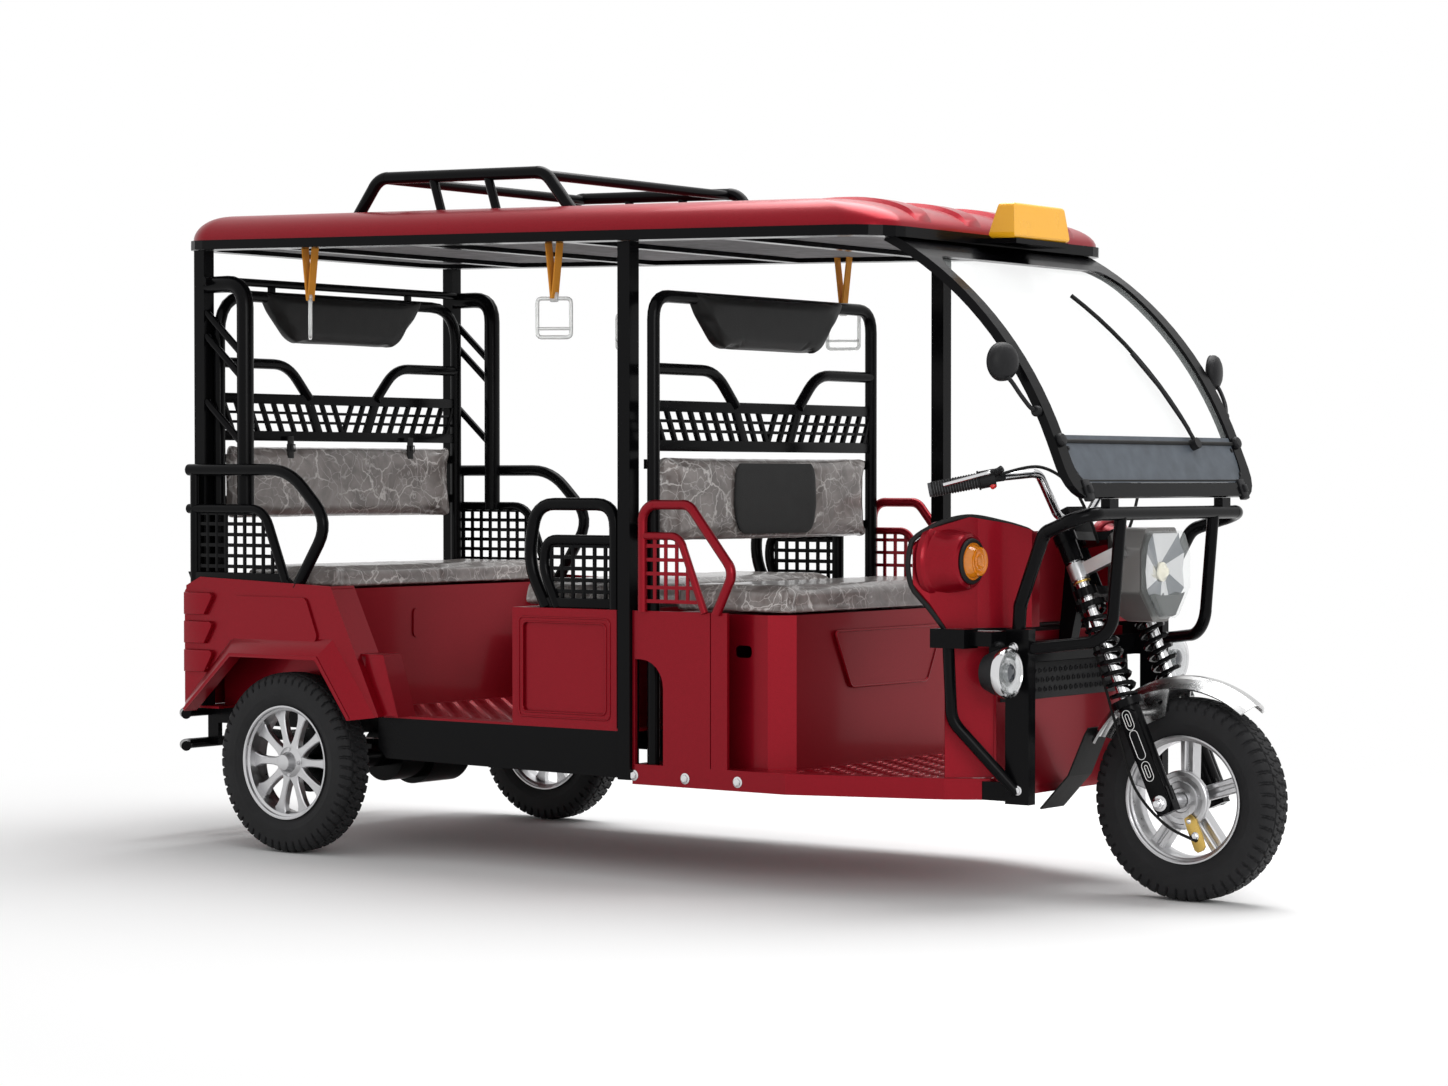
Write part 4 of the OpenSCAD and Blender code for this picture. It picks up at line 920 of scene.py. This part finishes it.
# Wings that close the footwell beside the nose panel, and dark plates under the shell and the beam
def noseForms():
    eyelet = {"rows": (490, 513, 536), "from": -252, "to": 256, "pitch": 24}
    wings, plate = newBag(), newBag()
    for side in (-1, 1):
        ends = [(2053, side * 286), (1956, side * 362), (1951.5, side * 356.5), (2048.5, side * 281)]
        points = [at(x, y, z) for z in (291, 600) for x, y in ends]
        addTo(wings, (points, bridge(2, 4) + [[3, 2, 1, 0], [4, 5, 6, 7]]))
        pipe(wings, [(2051, side * 284, 600), (1954, side * 359, 600)], 5)
    makePiece("nose_wings", wings, "red_paint")
    crossPlate(plate, 1960, 1966, boxPoints(-286, 585, 286, 652), 2)
    for z in (600, 618, 636):
        pipe(plate, [(1966, -262, z), (1966, 262, z)], 4)
    crossPlate(plate, 2056.2, 2062, boxPoints(-278, 468, 278, 557), 3)
    ring = turned([(4.2, 0), (7, 0), (6.4, 2.2), (4.8, 2.2), (4.2, 0)], 14)
    for row, z in enumerate(eyelet["rows"]):
        shift = eyelet["pitch"] / 2 * (row % 2)
        for y in np.arange(eyelet["from"] + shift, eyelet["to"], eyelet["pitch"]):
            addTo(plate, ring, facing(at(2062, y, z), (1, 0, 0)))
    makePiece("nose_plate", plate, "black_plastic")


# Pressed beads: a border on the side boxes and a trapezium on the driver's box
def pressedBeads():
    bag = newBag()
    for side in (-1, 1):
        for inset in (22, 34):
            corners = boxPoints(735 + inset, 372 + inset, 1075 - inset, 668 - inset)
            line = bentLine([at(x, side * 500.4, z) for x, z in corners], 0.016, closed=True)
            addTo(bag, tube(line, 0.0026, 8, True))
    trapezium = [at(1555, y, z) for y, z in ((-240, 620), (-170, 480), (170, 480), (240, 620))]
    addTo(bag, tube(bentLine(trapezium, 0.014, closed=True), 0.003, 8, True))
    makePiece("pressed_beads", bag, "red_paint", sharp=60)


roofShell()
roofRibs()
quarterForms()
noseForms()
pressedBeads()
print("roof and quarters made")


# Rims: a turned barrel with a stepped lip, lofted spokes, and a hub

# A spoke along X: stations of radius, half width, top and bottom, with a bevel along its top edges
def spoke(stations, edge):
    points = []
    for r, w, top, low in stations:
        section = [(-w, low), (-w, top - edge), (edge - w, top), (w - edge, top), (w, top - edge), (w, low)]
        points.extend([(r / 1000, y / 1000, z / 1000) for y, z in section])
    last = len(points) - 6
    ends = [[5, 4, 3, 2, 1, 0], [last + k for k in range(6)]]
    return points, bridge(len(stations), 6) + ends


# Spokes that flare into the hub and into the barrel
def flaredSpokes(bag, place, count):
    share = np.linspace(0, 1, 13)
    stations = [(34 + 104 * t, 8.5 + 3 * t + 11 * abs(2 * t - 1) ** 3, 18 - 5 * t, -4) for t in share]
    for i in range(count):
        addTo(bag, spoke(stations, 2.5), place @ Matrix.Rotation(2 * math.pi * i / count, 4, "Z"))


# Pairs of ribs on a lower web, the same on both sides
def twinSpokes(bag, place, count):
    share = np.linspace(0, 1, 7)
    web = spoke([(40 + 98 * t, 15 + 2 * t, 9, -9) for t in share], 2)
    rib = spoke([(40 + 98 * t, 6 + 2 * t, 17, -17) for t in share], 3)
    for i in range(count):
        turn = place @ Matrix.Rotation(2 * math.pi * (i + 0.25) / count, 4, "Z")
        addTo(bag, web, turn)
        for offset in (-0.011, 0.011):
            addTo(bag, rib, turn @ Matrix.Translation((0, offset, 0)))


twinHub = ((0, 34), (16, 34), (20, 31), (22, 20), (46, 15), (48, 10), (48, -10), (46, -15), (22, -20),
           (20, -31), (16, -34), (0, -34))
domedHub = ((0, 47), (17, 47), (21, 45), (23, 40), (28, 24), (40, 19), (44, 14), (44, -6), (0, -6))
rims = {
    "front": {"body": "front_wheel", "side": -1, "spokes": 5, "half": 41.5, "hub": twinHub},
    "right": {"body": "rear_wheel_right", "side": -1, "spokes": 10, "half": 42, "hub": domedHub},
    "left": {"body": "rear_wheel_left", "side": 1, "spokes": 10, "half": 42, "hub": domedHub},
}


def alloyRim(wheel, look):
    low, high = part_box(wheel + "_rim")
    radius = (high.z - low.z) * 500 - 0.2
    half = look["half"]
    place = facing(boxCentre(wheel + "_tyre"), (0, look["side"], 0))
    lip = [(radius, half), (radius - 4, half), (radius - 7, half - 2), (radius - 8, half - 9),
           (radius - 12, half - 11), (radius - 14, half - 13), (radius - 15, half - 30), (radius - 17, 4)]
    back = [(r, -h) for r, h in reversed(lip)]
    seat = [(radius - 3, -half + 8), (radius - 8, -half + 20), (radius - 8, half - 20),
            (radius - 3, half - 8)]
    bag = newBag()
    addTo(bag, turned(lip + back + seat + lip[:1], 96), place)
    if look["hub"] is twinHub:
        twinSpokes(bag, place, look["spokes"])
    else:
        flaredSpokes(bag, place, look["spokes"])
    addTo(bag, turned(look["hub"], 60), place)
    if look["hub"] is domedHub:
        for x, y in circlePoints(0.034, 4):
            addTo(bag, bolt(6), place @ Matrix.Translation((x, y, 0.020)))
    makePiece(wheel + "_alloy_rim", bag, "polished_alloy", look["body"], sharp=30, stands=wheel + "_rim")


for wheel, look in rims.items():
    alloyRim(wheel, look)
print("rims made")


# Fork dressing, in the fork's frame

def forkPlace(x, y, z, direction):
    return facing(onFork(x, y, z), (forkFrame.to_3x3() @ Vector(direction)))


# A stadium outline about a centre, length along the first axis
def stadium(length, width, steps=8):
    r, run = width / 2, (length - width) / 2
    points = []
    for side, start in ((1, -0.5), (-1, 0.5)):
        for i in range(steps + 1):
            angle = math.pi * (start + i / steps)
            points.append((side * run + r * math.cos(angle), r * math.sin(angle)))
    return points


# Cheeks on the legs with white outlines, axle nuts, and rings on the stanchions
def forkDressing():
    leg = {"half": 120, "face": 147, "cheek": (264, 44), "marks": ((208, 48), (146, 72), (80, 48)),
           "mark": 22}
    collar = [(16.5, 0), (20.5, 0), (21, 1.5), (20.5, 5), (16.5, 5), (16.5, 0)]
    covers, lines, nuts, rings = newBag(), newBag(), newBag(), newBag()
    for side in (-1, 1):
        base = forkFrame @ Matrix.Translation((0, side * 0.136, 0.1045))
        cheek = base @ Matrix.Rotation(math.pi / 2 * -side, 4, "X") @ Matrix.Rotation(math.pi / 2, 4, "Z")
        outline = [(x / 1000, y / 1000) for x, y in stadium(*leg["cheek"])]
        addTo(covers, roundPlate(outline, 0.011, 0.003), cheek)
        for z, length in leg["marks"]:
            sizes = [(length, leg["mark"])]
            if length < 60:
                sizes.append((length - 18.2, leg["mark"] - 14))
            for size in sizes:
                ring = [onFork(x, side * (leg["face"] + 0.2), z + y) for y, x in stadium(*size)]
                addTo(lines, tube(ring, 0.0009, 5, True))
        end = forkPlace(0, side * leg["face"], 0, (0, side, 0))
        addTo(nuts, bolt(15), end)
        addTo(nuts, turned([(9, 8), (9, 18), (7, 20), (0, 20)], 20), end)
        for z in (640, 556):
            addTo(rings, turned(collar, 36), forkPlace(0, side * leg["half"], z, (0, 0, 1)))
    makePiece("fork_leg_cheeks", covers, "black_paint", "fork")
    makePiece("fork_leg_lines", lines, "pale_plastic", "fork", extras["white"], 60)
    makePiece("axle_nuts", nuts, "bright_chrome", "fork")
    makePiece("stanchion_rings", rings, "bright_chrome", "fork", extras["brass"])


def brakeDressing():
    steps = ((69, 0), (69.5, 3), (67, 5), (58, 5.5), (56, 3), (45, 2.5), (43, 6), (30, 7.5),
             (28, 4), (20, 4), (19, 0))
    armShape = ((-12, -44), (8, -40), (17, -56), (18, -92), (14, -124), (6, -130), (-10, -130),
                (-16, -122), (-15, -70))
    route = ((6, -58, -104), (-52, -66, -40), (-78, -92, 60), (-62, -108, 170), (-44, -118, 290),
             (-40, -104, 420), (-46, -90, 560), (-20, -84, 660))
    drum, arm, screws, wire = newBag(), newBag(), newBag(), newBag()
    addTo(drum, turned(steps, 72), forkPlace(0, -44, 0, (0, -1, 0)))
    makePiece("drum_cover_steps", drum, "polished_alloy", "fork", sharp=25)
    turn = forkFrame @ Matrix.Translation((0.006, -0.050, 0)) @ Matrix.Rotation(math.pi / 2, 4, "X")
    addTo(arm, roundPlate([(x / 1000, z / 1000) for x, z in armShape], 0.005, 0.0012), turn)
    makePiece("brake_arm", arm, "bright_chrome", "fork", extras["brass"])
    addTo(wire, tube(smoothLine([onFork(*p) for p in route], 9), 0.0038, 8))
    makePiece("brake_cable", wire, "black_rubber", "fork", sharp=60)
    for spot, size in (((6, -55, -92), 8), ((4, -55, -54), 5)):
        addTo(screws, bolt(size), forkPlace(*spot, (0, -1, 0)))
    makePiece("brake_arm_bolts", screws, "bright_chrome", "fork")


# Grip ribs with a flange, switch buttons, and cables down to the lower yoke
def gripDressing():
    grip = {"ribs": 17, "pitch": 6.4, "flange": 116, "button": 138, "cable": 150}
    rib = turned([(16.9, -2.4), (18.6, -1.4), (18.6, 1.4), (16.9, 2.4)], 28)
    flange = turned([(17, -3), (23, -2), (23, 2), (17, 3)], 28)
    button = turned([(8, 19), (8, 25), (6.5, 27.5), (0, 28)], 20)
    ribs, buttons, cables = newBag(), newBag(), newBag()
    for side in (-1, 1):
        end = Vector((-147, side * 380, 864))
        inner = (Vector((-12, side * 300, 837)) - end).normalized()
        for i in range(grip["ribs"]):
            addTo(ribs, rib, forkPlace(*(end + inner * (6 + i * grip["pitch"])), inner))
        addTo(ribs, flange, forkPlace(*(end + inner * grip["flange"]), inner))
        addTo(buttons, button, forkPlace(*(end + inner * grip["button"]), (0.3, 0, -1)))
        start = end + inner * grip["cable"] + Vector((20, 0, 0))
        line = [start, (62, side * 225, 830), (88, side * 160, 770), (70, side * 100, 690),
                (46, side * 60, 640)]
        addTo(cables, tube(smoothLine([onFork(*p) for p in line], 10), 0.0038, 8))
    makePiece("grip_ribs", ribs, "black_rubber", "fork")
    makePiece("switch_buttons", buttons, "red_lens", "fork", extras["red_button"])
    makePiece("control_cables", cables, "black_rubber", "fork", sharp=60)


forkDressing()
brakeDressing()
gripDressing()
print("fork dressed")


# Headlamp: outline in Y and Z, the middle that it shrinks to, and the X of its foot

headlampShape = {"outline": ((-33, 664), (33, 664), (94, 734), (94, 822), (66, 872),
                             (-66, 872), (-94, 822), (-94, 734)),
                 "middle": 768, "foot": 2330.6, "bulb": 775, "bulbR": 24}


# Headlamp outline at one station: X, share of its size
def lampRing(x, share):
    middle = headlampShape["middle"]
    return [at(x, y * share, middle + (z - middle) * share) for y, z in headlampShape["outline"]]


def headlampCover():
    foot = headlampShape["foot"]
    stations = [(foot, 1.0), (foot + 19, 1.0), (foot + 31, 0.93), (foot + 37, 0.80)]
    count = len(headlampShape["outline"])
    points = [p for x, share in stations for p in lampRing(x, share)]
    bag = newBag()
    addTo(bag, (points, bridge(len(stations), count) + [[len(points) - count + k for k in range(count)]]))
    makePiece("headlamp_cover", bag, "clear_lens", "fork", extras["lamp_cover"], 20, "headlamp_lens")


# Flat mirrors dished toward the bulb, with a folded ridge between each two; every other mirror takes a darkened
# copy of the chrome, as painted shade on the facets
def headlampMirrors():
    foot, middle, r = headlampShape["foot"], headlampShape["bulb"], headlampShape["bulbR"]
    edge = lampRing(foot + 13, 0.95)
    ridge = [(a + b) / 2 + Vector((-0.004, 0, 0)) for a, b in zip(edge, edge[1:] + edge[:1])]
    outer = [p for pair in zip(edge, ridge) for p in pair]
    count = len(outer)
    angles = [2 * math.pi * i / count for i in range(count)]
    inner = [at(foot + 2, r * math.sin(angle), middle - r * math.cos(angle)) for angle in angles]
    faces = []
    for k in range(count):
        n = (k + 1) % count
        faces.extend([[k, n, count + n], [k, count + n, count + k]])
    bag = newBag()
    addTo(bag, (outer + inner, faces))
    made = makePiece("headlamp_reflector", bag, "bright_chrome", "fork", sharp=1)
    # Bright and darkened chrome alternate by facet: painted shade on one chrome reflector
    made.data.materials.append(extras["shaded_chrome"])
    for face in made.data.polygons:
        face.material_index = (face.index // 4) % 2


def headlampBulb():
    foot = headlampShape["foot"]
    slope = ((-30, 668), (30, 668), (78, 722), (40, 716), (-40, 716), (-78, 722))
    bulb, shadeSheet = newBag(), newBag()
    addTo(bulb, turned([(23, 0), (23, 4), (17, 6), (13, 12), (8, 17), (0, 19)], 28),
          facing(at(foot + 2, 0, headlampShape["bulb"]), (1, 0, 0)))
    makePiece("headlamp_bulb", bulb, "clear_lens", "fork", extras["bulb"])
    # A near-black sheet across the lamp's lower part, behind the cover: painted shade inside the lamp
    points = [at(foot + 24, y * 0.96, z + 4) for y, z in slope] + [at(foot + 14, y, z) for y, z in slope]
    addTo(shadeSheet, (points, bridge(2, 6) + [[0, 1, 2, 3, 4, 5], [11, 10, 9, 8, 7, 6]]))
    makePiece("headlamp_painted_shade", shadeSheet, "black_plastic", "fork", extras["dark"], 15)


# Turned parts of the fog lamps and turn signals, each at a spot on both sides and facing forward
lampSpots = {"fog": (2150, 394, 546), "pod": (1956, 385, 803), "collar": (2044, 385, 803),
             "lens": (2068, 385, 803)}
lampParts = {
    "fog_lamp_bowls": {"spot": "fog", "slot": "black_plastic", "steps": 60, "stands": "fog_lamps",
                       "profile": ((0, -60), (30, -60), (42, -54), (52, -30), (57, -14), (58, 0), (49, 0))},
    "fog_lamp_rings": {"spot": "fog", "slot": "bright_chrome", "steps": 60, "profile": (
        (58.5, -10), (60, -6), (60, 3), (57, 8), (52, 9), (49, 6), (49, 0))},
    "fog_lamp_reflectors": {"spot": "fog", "slot": "bright_chrome", "steps": 60, "profile": (
        (49.5, 6), (44, 2.5), (34, 0.9), (24, 0.5), (22, 0.5))},
    "fog_lamp_projectors": {"spot": "fog", "slot": "clear_lens", "steps": 40, "look": "dark_glass",
                            "profile": ((22, 0.5), (23, 5), (21, 9), (14, 13.5), (7, 15.5), (0, 16))},
    "fog_lamp_covers": {"spot": "fog", "slot": "clear_lens", "steps": 60, "look": "lamp_cover", "profile": (
        (50.5, 7), (40, 11), (25, 14.5), (24, 14.8))},
    "signal_pods": {"spot": "pod", "slot": "red_paint", "steps": 72, "sharp": 30, "profile": (
        (92, -6), (91, 6), (86, 12), (80, 15), (77, 22), (72, 50), (68, 76), (64, 84),
        (57, 88), (51, 86), (50, 80))},
    "signal_collars": {"spot": "collar", "slot": "black_rubber", "steps": 60, "profile": (
        (43.9, -1), (53, -1), (54, 3), (51, 7), (46, 8), (43.8, 6))},
    "signal_lens_ridges": {"spot": "lens", "slot": "amber_lens", "steps": 48, "sharp": 25, "profile": (
        (33, -1.5), (33.5, 1.2), (30, 2.2), (27, 1), (19, 0.4), (17, 1.6), (14, 0.5), (7, 0.2), (0, 0.2))},
}


def roundLamps():
    arm = {"place": (2118, 336, 546), "size": (0.024, 0.012, 0.032)}
    for name, look in lampParts.items():
        bag = newBag()
        x, y, z = lampSpots[look["spot"]]
        for side in (-1, 1):
            addTo(bag, turned(look["profile"], look["steps"]), facing(at(x, side * y, z), (1, 0, 0)))
            if name == "fog_lamp_bowls":
                armX, armY, armZ = arm["place"]
                addTo(bag, roundBox(arm["size"], 0.003), Matrix.Translation(at(armX, side * armY, armZ)))
        material = extras.get(look.get("look"))
        makePiece(name, bag, look["slot"], "chassis", material, look.get("sharp", 38), look.get("stands"))


def tailDressing():
    lamp = {"y": 0.450, "z": 0.600, "halfY": 0.053, "halfZ": 0.063, "rib": 0.044, "pitch": 0.012}
    corners = ((-1, -0.8), (-0.75, -1), (0.75, -1), (1, -0.8), (1, 0.8), (0.75, 1), (-0.75, 1), (-1, 0.8))
    frames, bars = newBag(), newBag()
    for side in (-1, 1):
        middle = Vector((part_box("tail_lamps")[0].x, side * lamp["y"], lamp["z"]))
        loop = [middle + Vector((0.001, y * lamp["halfY"], z * lamp["halfZ"])) for y, z in corners]
        addTo(frames, tube(loop, 0.005, 8, True))
        for k in range(-4, 5):
            ends = [middle + Vector((-0.0005, y, k * lamp["pitch"])) for y in (-lamp["rib"], lamp["rib"])]
            addTo(bars, tube(ends, 0.0035, 8))
    makePiece("tail_lamp_frames", frames, "black_rubber", sharp=60)
    makePiece("tail_lamp_ribs", bars, "red_lens", sharp=60)


headlampCover()
headlampMirrors()
headlampBulb()
roundLamps()
tailDressing()
print("lamps dressed")


# Front shell: X of its face by half width, and its upper edge in half width and Z

shellLine = ((1975, 0), (1980, 140), (2014, 172), (2096, 190), (2100, 222), (2070, 270), (2024, 330),
             (1988, 385), (1958, 432), (1929, 460))
shellEdge = ((400, 646), (470, 760), (470, 830), (430, 880), (350, 906), (270, 890), (208, 869))


def shellX(y):
    return float(np.interp(abs(y), [p[1] for p in shellLine], [p[0] for p in shellLine]))


def shellTrim():
    trim = newBag()
    for side in (-1, 1):
        line = smoothLine([(0, side * y, z) for y, z in shellEdge], 8)
        addTo(trim, tube([at(shellX(p.y) - 1, p.y, p.z) for p in line], 0.0065, 8))
    makePiece("shell_edge_trim", trim, "black_rubber", sharp=60)


# A point on the flat lower panel: distance down it, Y, and distance out from its middle
def onPanel(down, y, out):
    return at(2291 + 0.379 * down + 0.925 * out, y, 1084.5 - 0.925 * down + 0.379 * out)


# A point on the curved screen: angle, Y, and distance out from its middle
def onScreen(angle, y, out):
    turn = math.radians(angle)
    return at(1431.6 + (929 + out) * math.cos(turn), y, 731.6 + (929 + out) * math.sin(turn))


def screenDressing():
    outward = (0.925, 0, 0.379)
    wiper = {"start": 24, "step": 2.5, "from": 205, "across": 15, "points": 11}
    seal, knobs, clips, blade = newBag(), newBag(), newBag(), newBag()
    addTo(seal, tube([onPanel(7, y, 9) for y in (-428, 428)], 0.005, 8))
    addTo(seal, tube([onPanel(104, y, 8.2) for y in (-396, 396)], 0.0022, 8))
    for side in (-1, 1):
        addTo(knobs, turned([(15, 0), (16, 3), (15, 10), (12, 13), (0, 14)], 24),
              facing(onPanel(6, side * 418, 10), outward))
        clip = facing(onPanel(128, side * 372, 8), outward)
        addTo(clips, roundBox((0.030, 0.052, 0.016), 0.004), clip)
        addTo(clips, roundBox((0.016, 0.020, 0.030), 0.003), clip)
        for down in (24, 88):
            addTo(clips, bolt(5), facing(onPanel(down, side * 390, 8), outward))
    makePiece("screen_seal", seal, "black_rubber", sharp=60)
    makePiece("screen_knobs", knobs, "black_plastic")
    makePiece("screen_clips", clips, "black_plastic")
    # Wiper blade: a spine with the thin rubber under it
    for out, radius, sides in ((13, 0.0045, 8), (8.5, 0.0022, 6)):
        line = [onScreen(wiper["start"] + i * wiper["step"], wiper["from"] - i * wiper["across"], out)
                for i in range(wiper["points"])]
        addTo(blade, tube(line, radius, sides))
    makePiece("wiper_blade", blade, "black_rubber", sharp=60)


def mirrorDressing():
    head = {"x": 2206, "y": 498, "z": 1262, "toe": 0.25}
    dome = ((43, -12), (44.5, -8), (44, -2), (39, 6), (28, 11.5), (14, 14.5), (0, 15.2))
    bezel = ((43, 12), (44.5, 14), (43, 16), (40.5, 16), (40, 13))
    base = ((9, 0), (13, 1), (13, 12), (10, 16), (0, 17))
    domes, glasses = newBag(), newBag()
    for side in (-1, 1):
        back = Vector((-1, -head["toe"] * side, 0)).normalized()
        place = at(head["x"], side * head["y"], head["z"])
        addTo(domes, turned(dome), facing(place, -back))
        addTo(domes, turned(bezel), facing(place, back))
        stalk = [(2258, side * 440, 1150), (2254, side * 462, 1156), (2240, side * 482, 1184),
                 (2216, side * 494, 1222), (head["x"] - 6, side * head["y"], head["z"] - 36)]
        addTo(domes, tube(smoothLine([at(*p) for p in stalk], 8), 0.0052, 10))
        addTo(domes, turned(base, 24), facing(at(2258, side * 437, 1150), (0, side, 0)))
        addTo(glasses, turned([(40.5, 13.2), (39, 14), (20, 14.9), (0, 15.2)]), facing(place, back))
    makePiece("mirror_shells", domes, "black_plastic", stands="mirrors")
    makePiece("mirror_glasses", glasses, "bright_chrome", material=extras["mirror"])


shellTrim()
screenDressing()
mirrorDressing()
print("front dressed")


# Raised lozenges pressed in the floors, turned by quarters: floor level, X range, and half width along X
floors = {
    "passenger_floor_lozenges": {"z": 375, "xs": (118, 716), "reach": ((118, 716), (430, 430))},
    "driver_floor_lozenges": {"z": 290, "xs": (1585, 2030), "reach": ((1560, 1900, 2040), (430, 370, 280))},
}


def lozenges(name, look):
    size = {"long": 14, "wide": 5.5, "rise": 1.7, "shrink": 0.55, "gap": 34}
    bag = newBag()
    for row, x in enumerate(np.arange(*look["xs"], size["gap"])):
        reach = float(np.interp(x, *look["reach"]))
        for column, y in enumerate(np.arange(-reach, reach, size["gap"])):
            along, across = size["long"], size["wide"]
            if (row + column) % 2 == 0:
                along, across = across, along
            points = []
            for share, rise in ((1, 0), (size["shrink"], size["rise"])):
                points.extend([at(x + dx * share, y + dy * share, look["z"] + rise)
                               for dx, dy in ((-along, 0), (0, -across), (along, 0), (0, across))])
            addTo(bag, (points, bridge(2, 4) + [[4, 5, 6, 7]]))
    makePiece(name, bag, "red_paint", sharp=20)


# Bolts on both sides, facing outward: place and size
def fasteners():
    spots = ((1130, 500, 262, 11), (1290, 500, 262, 11), (1450, 500, 262, 11), (2126, 331, 600, 11),
             (2138, 330.5, 268, 9))
    bag = newBag()
    for side in (-1, 1):
        for x, y, z, size in spots:
            addTo(bag, bolt(size), facing(at(x, side * y, z), (0, side, 0), 0.3))
    makePiece("frame_bolts", bag, "bright_chrome")


# Clear square rings under the straps, each turned its own way, with a cross bar and a toggle
def strapRings():
    ring = {"half": 0.043, "tall": 0.098, "wire": 0.0052, "corner": 0.012, "bar": 0.076, "barWire": 0.0042}
    # Turn of each ring, by its strap's X and side
    twists = {(-9, -1): -0.8, (843, -1): 0.55, (1090, 1): 0.5, (340, 1): -0.2}
    half, tall = ring["half"], ring["tall"]
    corners = [(-half, 0, 0), (half, 0, 0), (half, 0, -tall), (-half, 0, -tall)]
    loop = bentLine(corners, ring["corner"], closed=True)
    bag = newBag()
    for (strap, side), twist in twists.items():
        x = at(strap, 0, 0).x
        points = [v.co for v in nodes["hand_straps"].data.vertices]
        near = [p for p in points if abs(p.x - x) < 0.06 and p.y * side > 0]
        low = min(p.z for p in near)
        middle = sum([p.y for p in near]) / len(near)
        hang = Matrix.Translation((x, middle, low)) @ Matrix.Rotation(twist, 4, "Z")
        addTo(bag, tube([hang @ p for p in loop], ring["wire"], 10, True))
        bar = [hang @ Vector((dx, 0, -ring["bar"])) for dx in (-half, half)]
        addTo(bag, tube(bar, ring["barWire"], 10))
        addTo(bag, roundBox((0.022, 0.012, 0.026), 0.004), hang @ Matrix.Translation((0, 0, 0.004)))
    makePiece("strap_square_rings", bag, "pale_plastic", sharp=50, stands="strap_rings")


# Straps and buckles that hang the rear back cushion on its rail
def backStraps():
    bands, buckles = newBag(), newBag()
    for y in (-232, 262):
        addTo(bands, roundBox((0.003, 0.024, 0.062), 0.001), Matrix.Translation(at(-308.5, y, 1084)))
        ring = [at(-306.5, across, z) for across, z in boxPoints(y - 15, 1073, y + 15, 1091)]
        addTo(buckles, tube(ring, 0.0022, 8, True))
        addTo(buckles, tube([at(-306.5, y, 1075), at(-304.5, y, 1093)], 0.0016, 6))
    makePiece("back_straps", bands, "black_vinyl")
    makePiece("back_buckles", buckles, "black_plastic", sharp=60)


for name, look in floors.items():
    lozenges(name, look)
fasteners()
strapRings()
backStraps()
print("details made")


# Camera, light and stage

def lookThrough():
    view = {"place": (5.1675, -6.885, 0.996), "yaw": 36.919, "pitch": -1.118, "lens": 82.04, "sensor": 36}
    camera = bpy.data.cameras.new("photoView")
    camera.lens = view["lens"]
    camera.sensor_width = view["sensor"]
    made = addObject("photoView", camera)
    yaw, pitch = math.radians(view["yaw"]), math.radians(view["pitch"])
    aim = Vector((-math.sin(yaw) * math.cos(pitch), math.cos(yaw) * math.cos(pitch), math.sin(pitch)))
    turn = aim.to_track_quat("-Z", "Y").to_matrix().to_4x4()
    made.matrix_world = Matrix.Translation(view["place"]) @ turn
    bpy.context.scene.camera = made


lights = {
    "overhead": {"place": (0.3, 1.2, 4.6), "target": (0.2, 0, 0.5), "size": (5.0, 3.2), "watts": 250},
    "front_fill": {"place": (5.5, -4.0, 2.6), "target": (0.4, 0, 0.8), "size": (3.0, 2.5), "watts": 100},
}


def addLight(name, look):
    light = bpy.data.lights.new(name, "AREA")
    light.shape = "RECTANGLE"
    light.size, light.size_y = look["size"]
    light.energy = look["watts"]
    place = Vector(look["place"])
    turn = (Vector(look["target"]) - place).to_track_quat("-Z", "Y").to_matrix().to_4x4()
    addObject(name, light).matrix_world = Matrix.Translation(place) @ turn


# Rays that see the backdrop: from the camera, or by way of metal and glass
def seenRays(tree):
    ray = addNode(tree, "ShaderNodeLightPath")
    seen = ray.outputs["Is Camera Ray"]
    for key in ("Is Glossy Ray", "Is Transmission Ray"):
        seen = combine(tree, seen, ray.outputs[key], "MAXIMUM")
    return seen


room = {"world": 0.54, "floor": 0.93, "half": 60, "fadeFrom": 1.9, "fadeTo": 3.4}


# A pale floor that keeps the shadow near the vehicle and fades to white away from it
def layFloor():
    mesh = bpy.data.meshes.new("floor")
    h = room["half"]
    corners = [(x, y, -0.001) for x, y in ((-h, -h), (h, -h), (h, h), (-h, h))]
    mesh.from_pydata(corners, [], [[0, 1, 2, 3]])
    floor = addObject("floor", mesh)
    made, tree, surface = newShader("paleFloor", (room["floor"],) * 3, 0.9)
    setInputs(surface, {"Specular IOR Level": 0.0})
    away = addNode(tree, "ShaderNodeVectorMath", operation="LENGTH")
    tree.links.new(placeIn(tree), away.inputs[0])
    fade = spread(tree, away.outputs["Value"], 0, 1, room["fadeFrom"], room["fadeTo"])
    share = combine(tree, fade, seenRays(tree), "MULTIPLY")
    glow = addNode(tree, "ShaderNodeEmission", {"Color": (1, 1, 1, 1), "Strength": 1.0})
    mix = addNode(tree, "ShaderNodeMixShader")
    for socket, value in zip(mix.inputs, (share, surface.outputs[0], glow.outputs[0])):
        tree.links.new(value, socket)
    tree.links.new(mix.outputs[0], tree.nodes["Material Output"].inputs["Surface"])
    mesh.materials.append(made)


def lightWorld():
    world = bpy.data.worlds.new("studio")
    bpy.context.scene.world = world
    world.use_nodes = True
    tree = world.node_tree
    background = tree.nodes["Background"]
    setInputs(background, {"Color": (1, 1, 1, 1)})
    level = spread(tree, seenRays(tree), room["world"], 1.0, 0, 1)
    tree.links.new(level, background.inputs["Strength"])


lookThrough()
layFloor()
lightWorld()
for name, look in lights.items():
    addLight(name, look)
bpy.context.scene.view_settings.view_transform = "Standard"
print("stage set")
